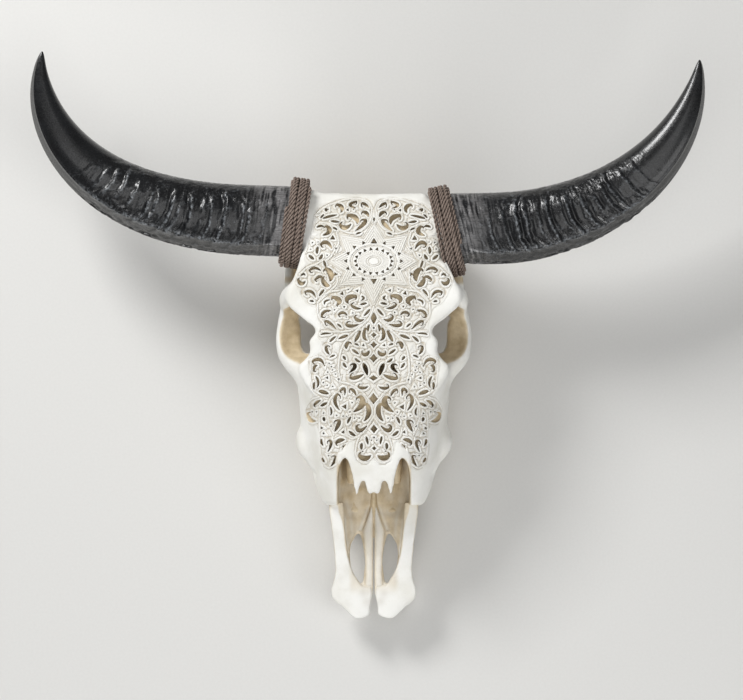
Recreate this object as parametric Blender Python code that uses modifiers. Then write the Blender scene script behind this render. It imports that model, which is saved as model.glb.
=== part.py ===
"""Carved cow skull with black horns, lying as it rests: forehead up, nose towards -Y.

Lengths in the tables are millimetres in the skull's own frame: X across, Y from nose to
poll, Z up from the surface it lies on, with the origin midway along the skull. Left and
right are the animal's own, so its left is +X.
"""

import math

import bmesh
import bpy
import numpy as np
from mathutils import Vector

MM = 0.001
GAP = 0.3  # clearance between neighbouring nodes

# The skull's driving sizes
SKULL_LENGTH = 499.0
POLL_Y = 248.0
NOSE_Y = POLL_Y - SKULL_LENGTH
SUTURE_Y = -118.0  # flat joint between the upper jaw and the nose bones
PALATE_FRONT_Y = -147.0  # where the palate meets the nose bones' inner processes
ROOF_Z = 190.0  # height of the forehead
PALATE_Z = 44.0

# The horns: where each leaves the skull, its length, and how its heading turns along it
HORN_ROOT_Z = 150.0
HORN_DEPTH_SHARE = 0.68  # front-to-back depth of the root against its width
HORNS = {
    "right": dict(side=-1, root=(-92.0, 213.0), length=409.0, heading=2.2, turn=99.7,
                  turn_power=2.03, width=86.0, tilt=8.0, rise=26.0),
    "left": dict(side=1, root=(86.0, 203.0), length=396.0, heading=0.6, turn=86.7,
                 turn_power=1.55, width=88.0, tilt=13.0, rise=20.0),
}
HORN_RINGS = 13  # growth ridges on the lower two thirds
HORN_RING_HEIGHT = 1.9
HORN_STATIONS = 52
HORN_SIDES = 16

# The cord bound round each horn's root
CORD_TURNS = 6
CORD_THICKNESS = 5.0
CORD_PITCH = 4.3
CORD_INNER = 2.6  # how far the binding's inside stands off the horn's root

# The cheek teeth: length along the row, width and splay, premolars first
TOOTH_ROW_FRONT = -111.0
TEETH = [(16, 13), (19, 17), (20, 20), (25, 23), (29, 25), (31, 24)]
TOOTH_ROW_X = (47.0, 60.0)

# The carving's main openings. Leaves of one half: start, middle, end and greatest width
CARVED_LEAVES = [
    (14.4, 9.3, 13.8, 0.5, 23.2, -7.8, 6), (7.7, 1.2, 5.7, -8.9, 11.1, -18.3, 5),
    (53.9, 158.8, 49.5, 152, 50.5, 145, 6), (30.2, 221.8, 21.5, 218.4, 19.8, 211.7, 5),
    (20.8, 127.7, 30.2, 125, 29.5, 119, 5), (17.1, -59.8, 10.4, -62.2, 4.4, -59.2, 5.5),
    (47.3, 126.3, 39.9, 122.2, 43.2, 116.9, 5), (42.6, 12.6, 45.3, 3.9, 40, -6.2, 3.5),
    (54.7, 208.8, 52.1, 202.8, 59.2, 198.3, 4.5), (27.2, 31.1, 19.8, 32.1, 11.8, 35.5, 4),
    (61.4, 187.9, 54.7, 189.7, 48.7, 182.7, 4), (39.6, 209.7, 33.6, 207, 27.2, 211.1, 4.5),
    (20.5, -25, 16.5, -29.7, 8.4, -24.3, 4), (77.6, -10.8, 73.9, -17.5, 67.9, -19, 4.5),
    (59.5, 147, 56, 141, 51.5, 139.5, 5), (40, -18.3, 42, -24.3, 45.7, -31, 4),
    (71.9, 51.6, 63.7, 53.3, 58.8, 47.5, 3.5), (32.2, 94.1, 26.2, 92.5, 17.5, 94.5, 3.5),
    (57.1, 98.4, 51.4, 96, 44, 88.6, 3), (43, 234.6, 37.6, 230.5, 39, 225.2, 4),
]
# Diamonds on the midline: place along Y, width and height
CARVED_DIAMONDS = [
    (101.4, 7, 14), (81.7, 8, 8), (70.3, 9, 9), (54.5, 11, 11), (31.5, 11, 7), (7.5, 11, 14),
    (-27.7, 9, 11), (-50.5, 6, 6),
]
STAR_Y = 168.4
STAR_RING = (32.3, 22.6)  # half axes of the oval that its openings lie on
STAR_OPENINGS = 16
STAR_OPENING_RADIUS = 3.0
CARVING_DEPTH = 12.0

MATERIALS = {
    "bone": ((0.86, 0.85, 0.80, 1), 0.6),
    "enamel": ((0.80, 0.74, 0.60, 1), 0.35),
    "horn": ((0.035, 0.036, 0.04, 1), 0.32),
    "cord": ((0.27, 0.21, 0.18, 1), 0.9),
}


def clear_scene():
    for obj in list(bpy.data.objects):
        bpy.data.objects.remove(obj)


def material(name):
    found = bpy.data.materials.get(name)
    if found:
        return found
    colour, roughness = MATERIALS[name]
    made = bpy.data.materials.new(name)
    made.use_nodes = True
    made.diffuse_color = colour
    shader = made.node_tree.nodes["Principled BSDF"]
    shader.inputs["Base Color"].default_value = colour
    shader.inputs["Roughness"].default_value = roughness
    return made


def collection(name, shown=True):
    made = bpy.data.collections.new(name)
    made.hide_render = not shown
    bpy.context.scene.collection.children.link(made)
    return made


def put(name, mesh, group):
    obj = bpy.data.objects.new(name, mesh)
    group.objects.link(obj)
    if group.hide_render:
        obj.hide_render = True
        obj.display_type = "WIRE"
    return obj


def smooth_rows(table, at):
    """The table's columns at new values of its first column, along a monotone cubic."""
    table = np.array(table, float)
    table = table[np.argsort(table[:, 0])]
    x, values = table[:, 0], table[:, 1:]
    steps = np.diff(values, axis=0) / np.diff(x)[:, None]
    slopes = np.vstack([steps[:1], (steps[1:] + steps[:-1]) / 2, steps[-1:]])
    turning = np.zeros_like(slopes, bool)
    turning[1:-1] = steps[1:] * steps[:-1] <= 0
    slopes[turning] = 0
    at = np.asarray(at, float)
    left = np.clip(np.searchsorted(x, at) - 1, 0, len(x) - 2)
    span = (x[left + 1] - x[left])[:, None]
    t = ((at - x[left]) / span[:, 0])[:, None]
    return (
        (1 + 2 * t) * (1 - t) ** 2 * values[left]
        + t * (1 - t) ** 2 * span * slopes[left]
        + t * t * (3 - 2 * t) * values[left + 1]
        + t * t * (t - 1) * span * slopes[left + 1]
    )


def skin(name, rings, group):
    """A closed loft: neighbouring rings are joined by quads and the two ends are capped."""
    bm = bmesh.new()
    rows = [[bm.verts.new(Vector(p) * MM) for p in ring] for ring in rings]
    count = len(rows[0])
    for below, above in zip(rows, rows[1:]):
        for i in range(count):
            j = (i + 1) % count
            bm.faces.new((below[i], below[j], above[j], above[i]))
    bm.faces.new(rows[0][::-1])
    bm.faces.new(rows[-1])
    bmesh.ops.recalc_face_normals(bm, faces=bm.faces)
    mesh = bpy.data.meshes.new(name)
    bm.to_mesh(mesh)
    bm.free()
    return put(name, mesh, group)


def superellipse(square, count):
    """Unit section: cosine and sine, each raised towards a square by the exponent."""
    a = (np.arange(count) + 0.5) * 2 * math.pi / count
    c, s = np.cos(a), np.sin(a)
    power = 2 / square
    return np.sign(c) * np.abs(c) ** power, np.sign(s) * np.abs(s) ** power


def body(name, table, group, step=6.0, count=32, centre_x=0.0):
    """A loft along Y from rows of (y, half width, top, bottom, squareness)."""
    low, high = min(r[0] for r in table), max(r[0] for r in table)
    at = np.linspace(low, high, max(2, round((high - low) / step)) + 1)
    rings = []
    for y, (half, top, bottom, square) in zip(at, smooth_rows(table, at)):
        c, s = superellipse(square, count)
        z = (top + bottom) / 2 + (top - bottom) / 2 * s
        rings.append(np.stack([centre_x + half * c, np.full(count, y), z], 1))
    return skin(name, rings, group)


def rounded(outline, rounds=1, share=0.25):
    """A closed outline with each corner cut off, over and over."""
    points = np.array(outline, float)
    for _ in range(rounds):
        ahead = np.roll(points, -1, axis=0)
        cuts = (points * (1 - share) + ahead * share, points * share + ahead * (1 - share))
        points = np.stack(cuts, 1).reshape(-1, 2)
    return points


def mirrored_outline(half):
    """A whole outline from its right half, which starts and ends on X = 0."""
    half = np.array(half, float)
    return np.vstack([half, half[-2:0:-1] * (-1, 1)])


def profiled(name, table, group, step=5.0):
    """A loft along Y from rows of (y, x0, z0, x1, z1, ...): half profiles, top to floor."""
    low, high = min(r[0] for r in table), max(r[0] for r in table)
    at = np.linspace(low, high, round((high - low) / step) + 1)
    rings = []
    for y, row in zip(at, smooth_rows(table, at)):
        ring = rounded(mirrored_outline(row.reshape(-1, 2)), 2, 0.13)
        rings.append(np.insert(ring, 1, y, axis=1))
    return skin(name, rings, group)


def prism(name, outline, low, high, group):
    """An upright prism over an outline in the ground plane."""
    flat = np.array(outline, float)
    rings = [np.insert(flat, 2, z, axis=1) for z in (low, high)]
    return skin(name, rings, group)


def limb(name, stations, group, step=5.0, count=20, square=2.2, up=(0, 0, 1)):
    """A loft along a path, from rows of (x, y, z, half width, half height)."""
    stations = np.array(stations, float)
    run = np.linalg.norm(np.diff(stations[:, :3], axis=0), axis=1)
    run = np.concatenate([[0], np.cumsum(run)])
    at = np.linspace(0, run[-1], max(3, round(run[-1] / step)) + 1)
    rows = smooth_rows(np.column_stack([run, stations]), at)
    centres = rows[:, :3]
    along = np.gradient(centres, axis=0)
    along /= np.linalg.norm(along, axis=1)[:, None]
    side = np.cross(along, np.array(up, float))
    side /= np.linalg.norm(side, axis=1)[:, None]
    over = np.cross(side, along)
    c, s = superellipse(square, count)
    rings = [
        p + np.outer(c * w, a) + np.outer(s * h, b)
        for p, a, b, w, h in zip(centres, side, over, rows[:, 3], rows[:, 4])
    ]
    return skin(name, rings, group)


def ball(name, centre, radii, group, count=20):
    bm = bmesh.new()
    bmesh.ops.create_uvsphere(bm, u_segments=count, v_segments=count // 2 + 2, radius=1)
    for v in bm.verts:
        v.co = Vector([(c + r * q) * MM for c, r, q in zip(centre, radii, v.co)])
    mesh = bpy.data.meshes.new(name)
    bm.to_mesh(mesh)
    bm.free()
    return put(name, mesh, group)


def block(name, low, high, group):
    bm = bmesh.new()
    bmesh.ops.create_cube(bm, size=1)
    for v in bm.verts:
        v.co = Vector([((a + b) / 2 + (b - a) * q) * MM for a, b, q in zip(low, high, v.co)])
    mesh = bpy.data.meshes.new(name)
    bm.to_mesh(mesh)
    bm.free()
    return put(name, mesh, group)


def both_sides(obj):
    """Adds the mirror image across X = 0 as an object of its own."""
    mesh = obj.data.copy()
    for v in mesh.vertices:
        v.co.x = -v.co.x
    mesh.flip_normals()
    twin = put(obj.name + "_twin", mesh, obj.users_collection[0])
    return obj, twin


def boolean(obj, group, operation, solver="EXACT"):
    modifier = obj.modifiers.new(operation.lower() + " " + group.name, "BOOLEAN")
    modifier.operand_type = "COLLECTION"
    modifier.collection = group
    modifier.operation = operation
    modifier.solver = solver


def largest_shell(mesh):
    """Drops every closed surface but the largest."""
    bm = bmesh.new()
    bm.from_mesh(mesh)
    unseen, shells = set(bm.faces), []
    while unseen:
        reached, front = set(), [unseen.pop()]
        while front:
            face = front.pop()
            reached.add(face)
            for edge in face.edges:
                for other in edge.link_faces:
                    if other in unseen:
                        unseen.remove(other)
                        front.append(other)
        shells.append(reached)
    keep = max(shells, key=lambda faces: sum(f.calc_area() for f in faces))
    bmesh.ops.delete(bm, geom=[f for f in bm.faces if f not in keep], context="FACES")
    bm.to_mesh(mesh)
    bm.free()


def settle(obj):
    """Applies the modifiers and keeps the largest closed surface."""
    graph = bpy.context.evaluated_depsgraph_get()
    mesh = bpy.data.meshes.new_from_object(obj.evaluated_get(graph))
    obj.modifiers.clear()
    obj.data = mesh
    largest_shell(mesh)


def empty_out(group):
    for obj in list(group.objects):
        bpy.data.objects.remove(obj)
    bpy.data.collections.remove(group)


def finish(obj, material_name):
    obj.data.materials.clear()
    obj.data.materials.append(material(material_name))
    obj.data.shade_smooth()
    obj.data.set_sharp_from_angle(angle=math.radians(38))


# The horns' frames

def horn_centreline(horn, count):
    """Points and headings of the centreline: the heading turns as a power of the length."""
    t = np.linspace(0, 1, count)
    heading = np.radians(horn["heading"] + horn["turn"] * t ** horn["turn_power"])
    ahead = np.stack([horn["side"] * np.cos(heading), np.sin(heading)], 1)
    run = horn["length"] / (count - 1)
    walk = np.vstack([[0, 0], np.cumsum((ahead[1:] + ahead[:-1]) / 2 * run, axis=0)])
    # Under the cord the sheath follows the root's axis, and then eases into its curve
    axis = root_axis(horn)[:2]
    bound = CORD_TURNS * CORD_PITCH / 2 + 2
    ease = np.clip((t * horn["length"] - bound) / 90, 0, 1)
    ease = (ease * ease * (3 - 2 * ease))[:, None]
    held = np.minimum(1, bound / np.maximum(t * horn["length"], 1e-6))[:, None]
    straight = axis * (t * horn["length"])[:, None]
    walk += (straight - walk) * held * (1 - ease)
    ahead = axis * (1 - ease) + ahead * ease
    ahead /= np.linalg.norm(ahead, axis=1)[:, None]
    flat = np.array(horn["root"]) + walk
    z = HORN_ROOT_Z + horn["rise"] * t**2.4
    return t, np.column_stack([flat, z]), ahead


def horn_width(t):
    """Share of the root's width: a long taper that closes quickly to the tip."""
    return np.maximum((1 - np.minimum(t, 1) ** 2.35), 0) ** 0.78 * 0.985 + 0.015


def root_axis(horn):
    """Direction in which the horn leaves the skull, square to its root face."""
    tilt = math.radians(horn["tilt"])
    return np.array([horn["side"] * math.cos(tilt), math.sin(tilt), 0.0])


def root_section(horn, offset, grow, count=28, square=2.3):
    """An ellipse round the horn's root, moved along its axis and made larger."""
    axis = root_axis(horn)
    across = np.array([-axis[1], axis[0], 0.0])
    half = horn["width"] / 2 + grow
    deep = horn["width"] / 2 * HORN_DEPTH_SHARE + grow
    centre = np.array([*horn["root"], HORN_ROOT_Z]) + axis * offset
    c, s = superellipse(square, count)
    return centre + np.outer(c * half, across) + np.outer(s * deep, (0, 0, 1))


# The skull's bones

ROOF_OUTLINE = [
    (0, 246.5), (30, 247.5), (58, 248), (74, 246), (84, 238), (86, 215), (87, 190), (86.5, 170),
    (93, 151), (99, 137), (105, 128), (104, 121), (98, 113), (92, 108), (82, 100), (74, 94),
    (68, 90), (67, 85), (70, 81), (75, 78), (77, 74), (76, 69), (74, 65), (75, 59), (80, 53),
    (90, 46), (88, 36), (76, 18), (62, 0), (42, -16), (0, -24),
]
EYE_GAP = [
    (91.5, 107.8), (81.3, 99.2), (73.1, 94.3), (69.0, 90.5), (67.5, 86.1), (69.5, 82.8),
    (73.1, 80.6), (76.6, 75.5), (75.9, 70.6), (73.5, 64.4), (75.0, 62.4), (78.0, 64.5),
    (80.5, 68.9), (82.3, 77.1), (83.6, 88.6), (87, 98.4), (91.1, 104.1),
]


ROOF_ROWS = [
    (252, 112, 150, 132, 2.7), (246, 112, 163, 136, 2.7), (236, 112, 171, 144, 2.7),
    (222, 112, 177, 150, 2.7), (200, 112, 182, 158, 2.7), (170, 112, 186, 165, 2.7),
    (140, 112, 188, 169, 2.7), (110, 112, 187, 169, 2.7), (84, 112, 185, 167, 2.7),
    (60, 112, 181.5, 162, 2.7), (35, 112, 176.5, 150, 2.7), (0, 112, 168, 140, 2.7),
    (-26, 112, 160, 130, 2.7),
]
FACE_ROWS = [
    (62, 0, 180.5, 50, 179.5, 72, 172, 82, 140, 72, 104, 50, 88, 0, 86),
    (40, 0, 177, 56, 176, 80, 167, 90, 128, 86, 84, 58, 62, 0, 60),
    (20, 0, 173.5, 54, 172.5, 76, 161, 89, 112, 82, 66, 58, 46, 0, 50),
    (0, 0, 169, 50, 168, 70, 155, 88, 98, 78, 56, 56, 42, 0, 46),
    (-20, 0, 163.5, 46, 162.5, 65, 149, 86, 88, 75, 51, 54, 40, 0, 45),
    (-42, 0, 158, 42, 157, 62, 143, 84.5, 80, 71, 48, 52, 38, 0, 44),
    (-62, 0, 152.5, 38, 151.5, 59, 136, 82, 76, 68, 47, 50, 37, 0, 43),
    (-80, 0, 147, 36, 146, 56, 126, 74, 76, 63, 48, 48, 37, 0, 43),
    (-100, 0, 138, 34, 134, 53.5, 111, 68.5, 74, 58, 50, 45, 38, 0, 43),
    (-126, 0, 122, 33, 114, 51, 94, 54, 76, 52, 54, 42, 41, 0, 43),
]


def roof_of_skull(group):
    """The forehead: a gently domed slab trimmed to its outline seen from above."""
    slab = body("roof", ROOF_ROWS, group, count=44)
    outlines = collection("roof_outline", shown=False)
    prism("roof_trim", rounded(mirrored_outline(ROOF_OUTLINE)), 60, 240, outlines)
    boolean(slab, outlines, "INTERSECT")
    settle(slab)
    empty_out(outlines)


def brain_case(group):
    body("brain_case", [
        (243, 44, 164, 74, 2.6), (230, 58, 168, 58, 2.6), (195, 62, 172, 50, 2.4),
        (160, 56, 176, 52, 2.4), (120, 49, 178, 60, 2.4), (88, 46, 178, 64, 2.4),
        (55, 50, 172, 58, 2.4), (30, 50, 165, 50, 2.4),
    ], group, count=32)
    body("nape", [
        (245, 58, 156, 92, 2.8), (228, 70, 166, 88, 2.8), (206, 70, 170, 92, 2.6),
        (184, 60, 168, 98, 2.4),
    ], group, count=28)


def face(group):
    """The face from the orbits to the joint: bridge, crease, cheek, tooth wall, palate."""
    profiled("face", FACE_ROWS, group)
    both_sides(ball("facial_tuber", (68, -42, 76), (25, 27, 21), group))
    both_sides(limb("facial_crest", [
        (76, -42, 74, 8, 8), (80, -12, 82, 7, 8), (81, 14, 92, 8, 9), (84, 38, 100, 8, 12),
    ], group))
    both_sides(limb("tooth_socket_wall", [
        (60, 40, 58, 4, 8), (60, 32, 50, 10, 18), (60, 18, 42, 13, 21), (58, 0, 39, 14, 20),
        (54, -35, 37, 13, 18), (48, -90, 34, 10, 14), (46, -116, 34, 7, 10),
    ], group))
    front = mirrored_outline([
        (0, -90), (38, -90), (35, -118), (33, -136), (31.5, -149), (0, -149),
    ])
    prism("palate_tip", front, 42, 53, group)


def zygomatic_arches(group):
    """The bone under each orbit, its arch back to the ear, and the bar behind the eye."""
    both_sides(limb("under_orbit", [
        (70, 8, 98, 14, 30), (76, 27, 102, 14, 28), (83, 40, 104, 14, 26),
        (91, 50, 105, 15, 24), (97.5, 60, 106, 15.5, 22), (99.5, 75, 107, 15.5, 20),
        (99, 90, 107.5, 15, 19), (98, 106, 108, 13, 18), (98.5, 122, 108, 9.5, 16),
        (98, 140, 107, 7.5, 12), (96, 162, 104, 7.5, 11), (86, 184, 99, 11, 13),
        (64, 200, 94, 16, 18),
    ], group))
    both_sides(limb("bar_behind_eye", [
        (90, 132, 182, 12, 12), (99, 129, 164, 9, 11), (103, 122, 142, 8, 11),
        (101, 114, 118, 8, 14),
    ], group, up=(0, 1, 0)))


def back_of_skull(group):
    both_sides(ball("condyle", (25, 227, 70), (17, 18, 21), group))
    both_sides(limb("mastoid", [
        (44, 214, 92, 16, 32), (62, 216, 98, 14, 30), (76, 210, 106, 9, 20),
    ], group))
    both_sides(limb("ear_tube", [
        (50, 196, 84, 12, 12), (68, 190, 89, 9, 9), (79, 187, 94, 7, 7),
    ], group))
    both_sides(ball("ear_capsule", (40, 187, 56), (12, 20, 17), group))
    body("base_of_skull", [
        (236, 22, 72, 54, 2.4), (200, 24, 72, 45, 2.4), (150, 20, 74, 48, 2.4),
        (90, 18, 78, 56, 2.4), (50, 20, 78, 60, 2.4),
    ], group)
    both_sides(limb("pterygoid", [
        (24, 22, 58, 5, 18), (23, 52, 58, 4, 18), (22, 82, 60, 4, 13), (20, 100, 66, 5, 9),
    ], group))


def sockets_and_passages(group):
    """Everything that is hollow: orbits, nose, palate, ear holes and the spinal hole."""
    both_sides(ball("eye_socket", (86, 83, 140), (31, 34, 33), group, count=28))
    body("nose_opening", [
        (-180, 46, 220, 54, 3.0), (-120, 43, 220, 54, 3.0), (-100, 42.5, 220, 55, 3.0),
        (-82, 42, 220, 57, 3.0), (-70, 39.5, 220, 60, 3.0), (-63, 36, 220, 64, 3.0),
        (-59, 30, 220, 70, 3.0),
    ], group, step=4.0)
    body("nose_passage", [
        (-124, 43, 104, 54, 2.6), (-62, 40, 138, 54, 2.6), (-20, 32, 146, 57, 2.6),
        (30, 22, 130, 66, 2.4),
    ], group)
    body("palate_vault", [
        (-130, 26, 42, 0, 2.6), (-112, 32, 43, -20, 2.6), (-60, 37, 44, -20, 2.8),
        (0, 40, 46, -20, 2.8), (34, 42, 50, -20, 2.8), (52, 44, 56, -20, 2.6),
    ], group)
    body("throat_passage", [
        (10, 17, 76, 34, 2.4), (40, 17, 78, 30, 2.4), (75, 15, 74, 30, 2.4),
        (104, 12, 62, 30, 2.4),
    ], group)
    ball("spinal_hole", (0, 246, 90), (16, 36, 15), group)
    both_sides(ball("ear_hole", (84, 187, 95), (10, 4.5, 4.5), group, count=12))
    both_sides(ball("cheek_hole", (72, -82, 84), (9, 7, 5), group, count=12))


def nose_walls(group):
    limb("nose_partition", [
        (0, -145, 50, 4, 4), (0, -128, 54, 4.5, 7), (0, -100, 60, 3.5, 12),
        (0, -60, 72, 3, 20), (0, -25, 84, 3, 30),
    ], group, count=16)
    both_sides(limb("nose_scroll", [
        (27, -92, 80, 5, 8), (26, -70, 88, 7, 14), (25, -40, 94, 8, 20), (24, -10, 98, 8, 20),
    ], group, count=16))


NASAL_OUTLINE = [
    (0, -20), (33, -20), (33.5, -52), (32, -62), (28.5, -70), (25.5, -80), (23.5, -92), (20.5, -106),
    (18.5, -103), (16.5, -94), (13.5, -87), (11.5, -85.5), (9.8, -91), (7.5, -101), (4.5, -105),
    (1.8, -103), (0, -98),
]


def nasal_bones(group):
    """The free front of the nasal bones, each ending in a long and a short point."""
    slab = body("nasal_roof", [
        (-18, 60, 163.6, 156, 2.2), (-40, 60, 158.6, 151, 2.2), (-62, 60, 152.6, 146, 2.2),
        (-86, 60, 144.5, 139, 2.2), (-110, 60, 134.5, 130.5, 2.2),
    ], group, count=36)
    outlines = collection("nasal_outline", shown=False)
    prism("nasal_trim", mirrored_outline(NASAL_OUTLINE), 60, 240, outlines)
    boolean(slab, outlines, "INTERSECT")
    settle(slab)
    empty_out(outlines)


def tooth_places():
    """Centre, length and width of each tooth of the right row, and its turn from the row."""
    y = TOOTH_ROW_FRONT
    total = sum(long for long, _ in TEETH)
    for long, wide in TEETH:
        share = (y + long / 2 - TOOTH_ROW_FRONT) / total
        x = TOOTH_ROW_X[0] + (TOOTH_ROW_X[1] - TOOTH_ROW_X[0]) * math.sin(share * math.pi / 2)
        yield (x, y + long / 2), long, wide
        y += long


def teeth(group):
    """Each cheek tooth is a rounded block with a waist at the gum and a flat crown."""
    for side in (-1, 1):
        for number, ((x, y), long, wide) in enumerate(tooth_places()):
            rings = []
            for z, share in ((46, 0.88), (26, 0.96), (12, 1.0), (1.5, 0.99), (-1.5, 0.94)):
                c, s = superellipse(3.6, 12)
                ring = np.stack([x + c * wide / 2 * share, y + s * (long / 2 - 0.2) * share,
                                 np.full(12, float(z))], 1)
                ring[:, 0] *= side
                rings.append(ring)
            skin(f"tooth_{number}", rings, group)


def feet_and_stubs(group):
    """The processes beside the spinal hole, which the skull rests on, and the horn stubs."""
    for side in (-1, 1):
        limb("jugular_process", [
            (side * 50, 204, 78, 12, 20), (side * 53, 207, 44, 8.5, 16),
            (side * 52, 210, 16, 6.5, 12), (side * 50, 211, -6, 6, 10),
        ], group, count=12, up=(0, 1, 0))
    for horn in HORNS.values():
        stations = ((-52, -9), (-34, -6), (-16, -1.5), (-GAP, 0))
        skin("horn_stub", [root_section(horn, at, grow) for at, grow in stations], group)


def cord_clearance(group):
    """Room for the bound cords against the forehead, and the flat joint at the front."""
    half = CORD_TURNS * CORD_PITCH / 2 + 1.0
    room = CORD_INNER + CORD_THICKNESS + 1.0
    for horn in HORNS.values():
        stations = ((-half, room), (half + 60, room))
        skin("cord_room", [root_section(horn, at, grow) for at, grow in stations], group)
    for side in (-1, 1):
        ends = sorted((side * 33.5, side * 90))
        block("suture_cut", (ends[0], -200, 0), (ends[1], SUTURE_Y, 220), group)
    block("palate_front_cut", (-40, -160, 0), (40, PALATE_FRONT_Y, 120), group)
    both_sides(prism("eye_gap", EYE_GAP, 20, 240, group))


def bone_height(x, y):
    """Height of the forehead or of the face's bridge at a place, from their tables."""
    roof = smooth_rows([(row[0], row[2]) for row in ROOF_ROWS], [max(y, -26)])[0, 0]
    bridge = smooth_rows(FACE_ROWS, [min(y, 62)])[0].reshape(-1, 2)[:4]
    return roof if y > 30 else np.interp(abs(x), bridge[:, 0], bridge[:, 1])


def carved_opening(name, outline, group):
    """A cutter that reaches the carving's depth below the bone at the outline's middle."""
    middle = np.mean(outline, axis=0)
    prism(name, outline, bone_height(*middle) - CARVING_DEPTH, 240, group)


def carved_openings(group):
    """Leaves bent along a parabola, hollow-sided diamonds, and the star's oval ring."""
    for side in (-1, 1):
        for x0, y0, x1, y1, x2, y2, width in CARVED_LEAVES:
            first, middle, last = (np.array(p) * (side, 1) for p in ((x0, y0), (x1, y1), (x2, y2)))
            bend = 2 * middle - (first + last) / 2
            edges = [[], []]
            for t in (0.35, 0.7):
                place = (1 - t) ** 2 * first + 2 * t * (1 - t) * bend + t * t * last
                ahead = (1 - t) * (bend - first) + t * (last - bend)
                across = np.array([-ahead[1], ahead[0]]) / np.hypot(*ahead) * width / 2
                edges[0].append(place + across)
                edges[1].append(place - across)
            carved_opening("leaf", [first, *edges[0], last, *edges[1][::-1]], group)
    for y, width, height in CARVED_DIAMONDS:
        corners = [(width / 2, y), (0, y + height / 2), (-width / 2, y), (0, y - height / 2)]
        carved_opening("diamond", corners, group)
    for number in range(STAR_OPENINGS):
        turn = 2 * math.pi * (number + 0.5) / STAR_OPENINGS
        centre = np.array([0, STAR_Y]) + np.multiply(STAR_RING, (math.cos(turn), math.sin(turn)))
        corners = [centre + STAR_OPENING_RADIUS * np.array([math.cos(a), math.sin(a)])
                   for a in (turn + math.pi + k * 2 * math.pi / 3 for k in range(3))]
        carved_opening("star_opening", corners, group)


def cranium(parts):
    adding = collection("skull_masses", shown=False)
    roof_of_skull(adding)
    brain_case(adding)
    face(adding)
    zygomatic_arches(adding)
    back_of_skull(adding)
    hollows = collection("skull_hollows", shown=False)
    sockets_and_passages(hollows)
    thin = collection("skull_thin_bones", shown=False)
    nose_walls(thin)
    rooms = collection("neighbours_room", shown=False)
    cord_clearance(rooms)
    crisp = collection("skull_feet", shown=False)
    nasal_bones(crisp)
    teeth(crisp)
    feet_and_stubs(crisp)

    seed = ball("cranium", (0, 150, 116), (40, 60, 45), parts)
    boolean(seed, adding, "UNION")
    boolean(seed, hollows, "DIFFERENCE")
    boolean(seed, thin, "UNION")
    settle(seed)
    remesh = seed.modifiers.new("fuse", "REMESH")
    remesh.mode = "VOXEL"
    remesh.voxel_size = 2.2 * MM
    smooth = seed.modifiers.new("soften", "SMOOTH")
    smooth.factor = 0.5
    smooth.iterations = 7
    settle(seed)
    thinner = seed.modifiers.new("thin out", "DECIMATE")
    thinner.ratio = 5250 / max(1, sum(len(p.vertices) - 2 for p in seed.data.polygons))
    settle(seed)
    boolean(seed, rooms, "DIFFERENCE")
    boolean(seed, crisp, "UNION")
    settle(seed)
    ground = collection("ground_it_rests_on", shown=False)
    block("ground", (-130, -160, -40), (130, 260, 0), ground)
    carving = collection("carved_openings", shown=False)
    carved_openings(carving)
    boolean(seed, ground, "DIFFERENCE")
    boolean(seed, carving, "DIFFERENCE")
    settle(seed)
    for group in (adding, hollows, thin, rooms, crisp, ground, carving):
        empty_out(group)
    finish(seed, "bone")
    return seed


NOSE_BONE_OUTLINE = [
    (53.5, -112), (50, -140), (47.5, -158), (45.2, -184), (44.6, -196), (46.5, -206), (50, -216),
    (51, -225), (49.5, -235), (45, -243), (38, -248.5), (27, -251), (14, -250.5), (4, -249),
    (5, -243), (4.5, -236), (2.6, -228), (2.2, -214), (9, -213), (14.5, -212.5), (18, -207),
    (24.5, -197), (29.5, -182), (32.5, -158), (34.5, -136), (36, -112),
]
INNER_PROCESS_OUTLINE = [
    (1.2, -222), (15, -217), (12, -203), (10, -186), (11.8, -168), (15.5, -153), (17, -150),
    (20, -152), (27, -163), (28.5, -175), (27, -190), (33, -192), (35, -165), (35, -146),
    (1.2, -146),
]


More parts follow.
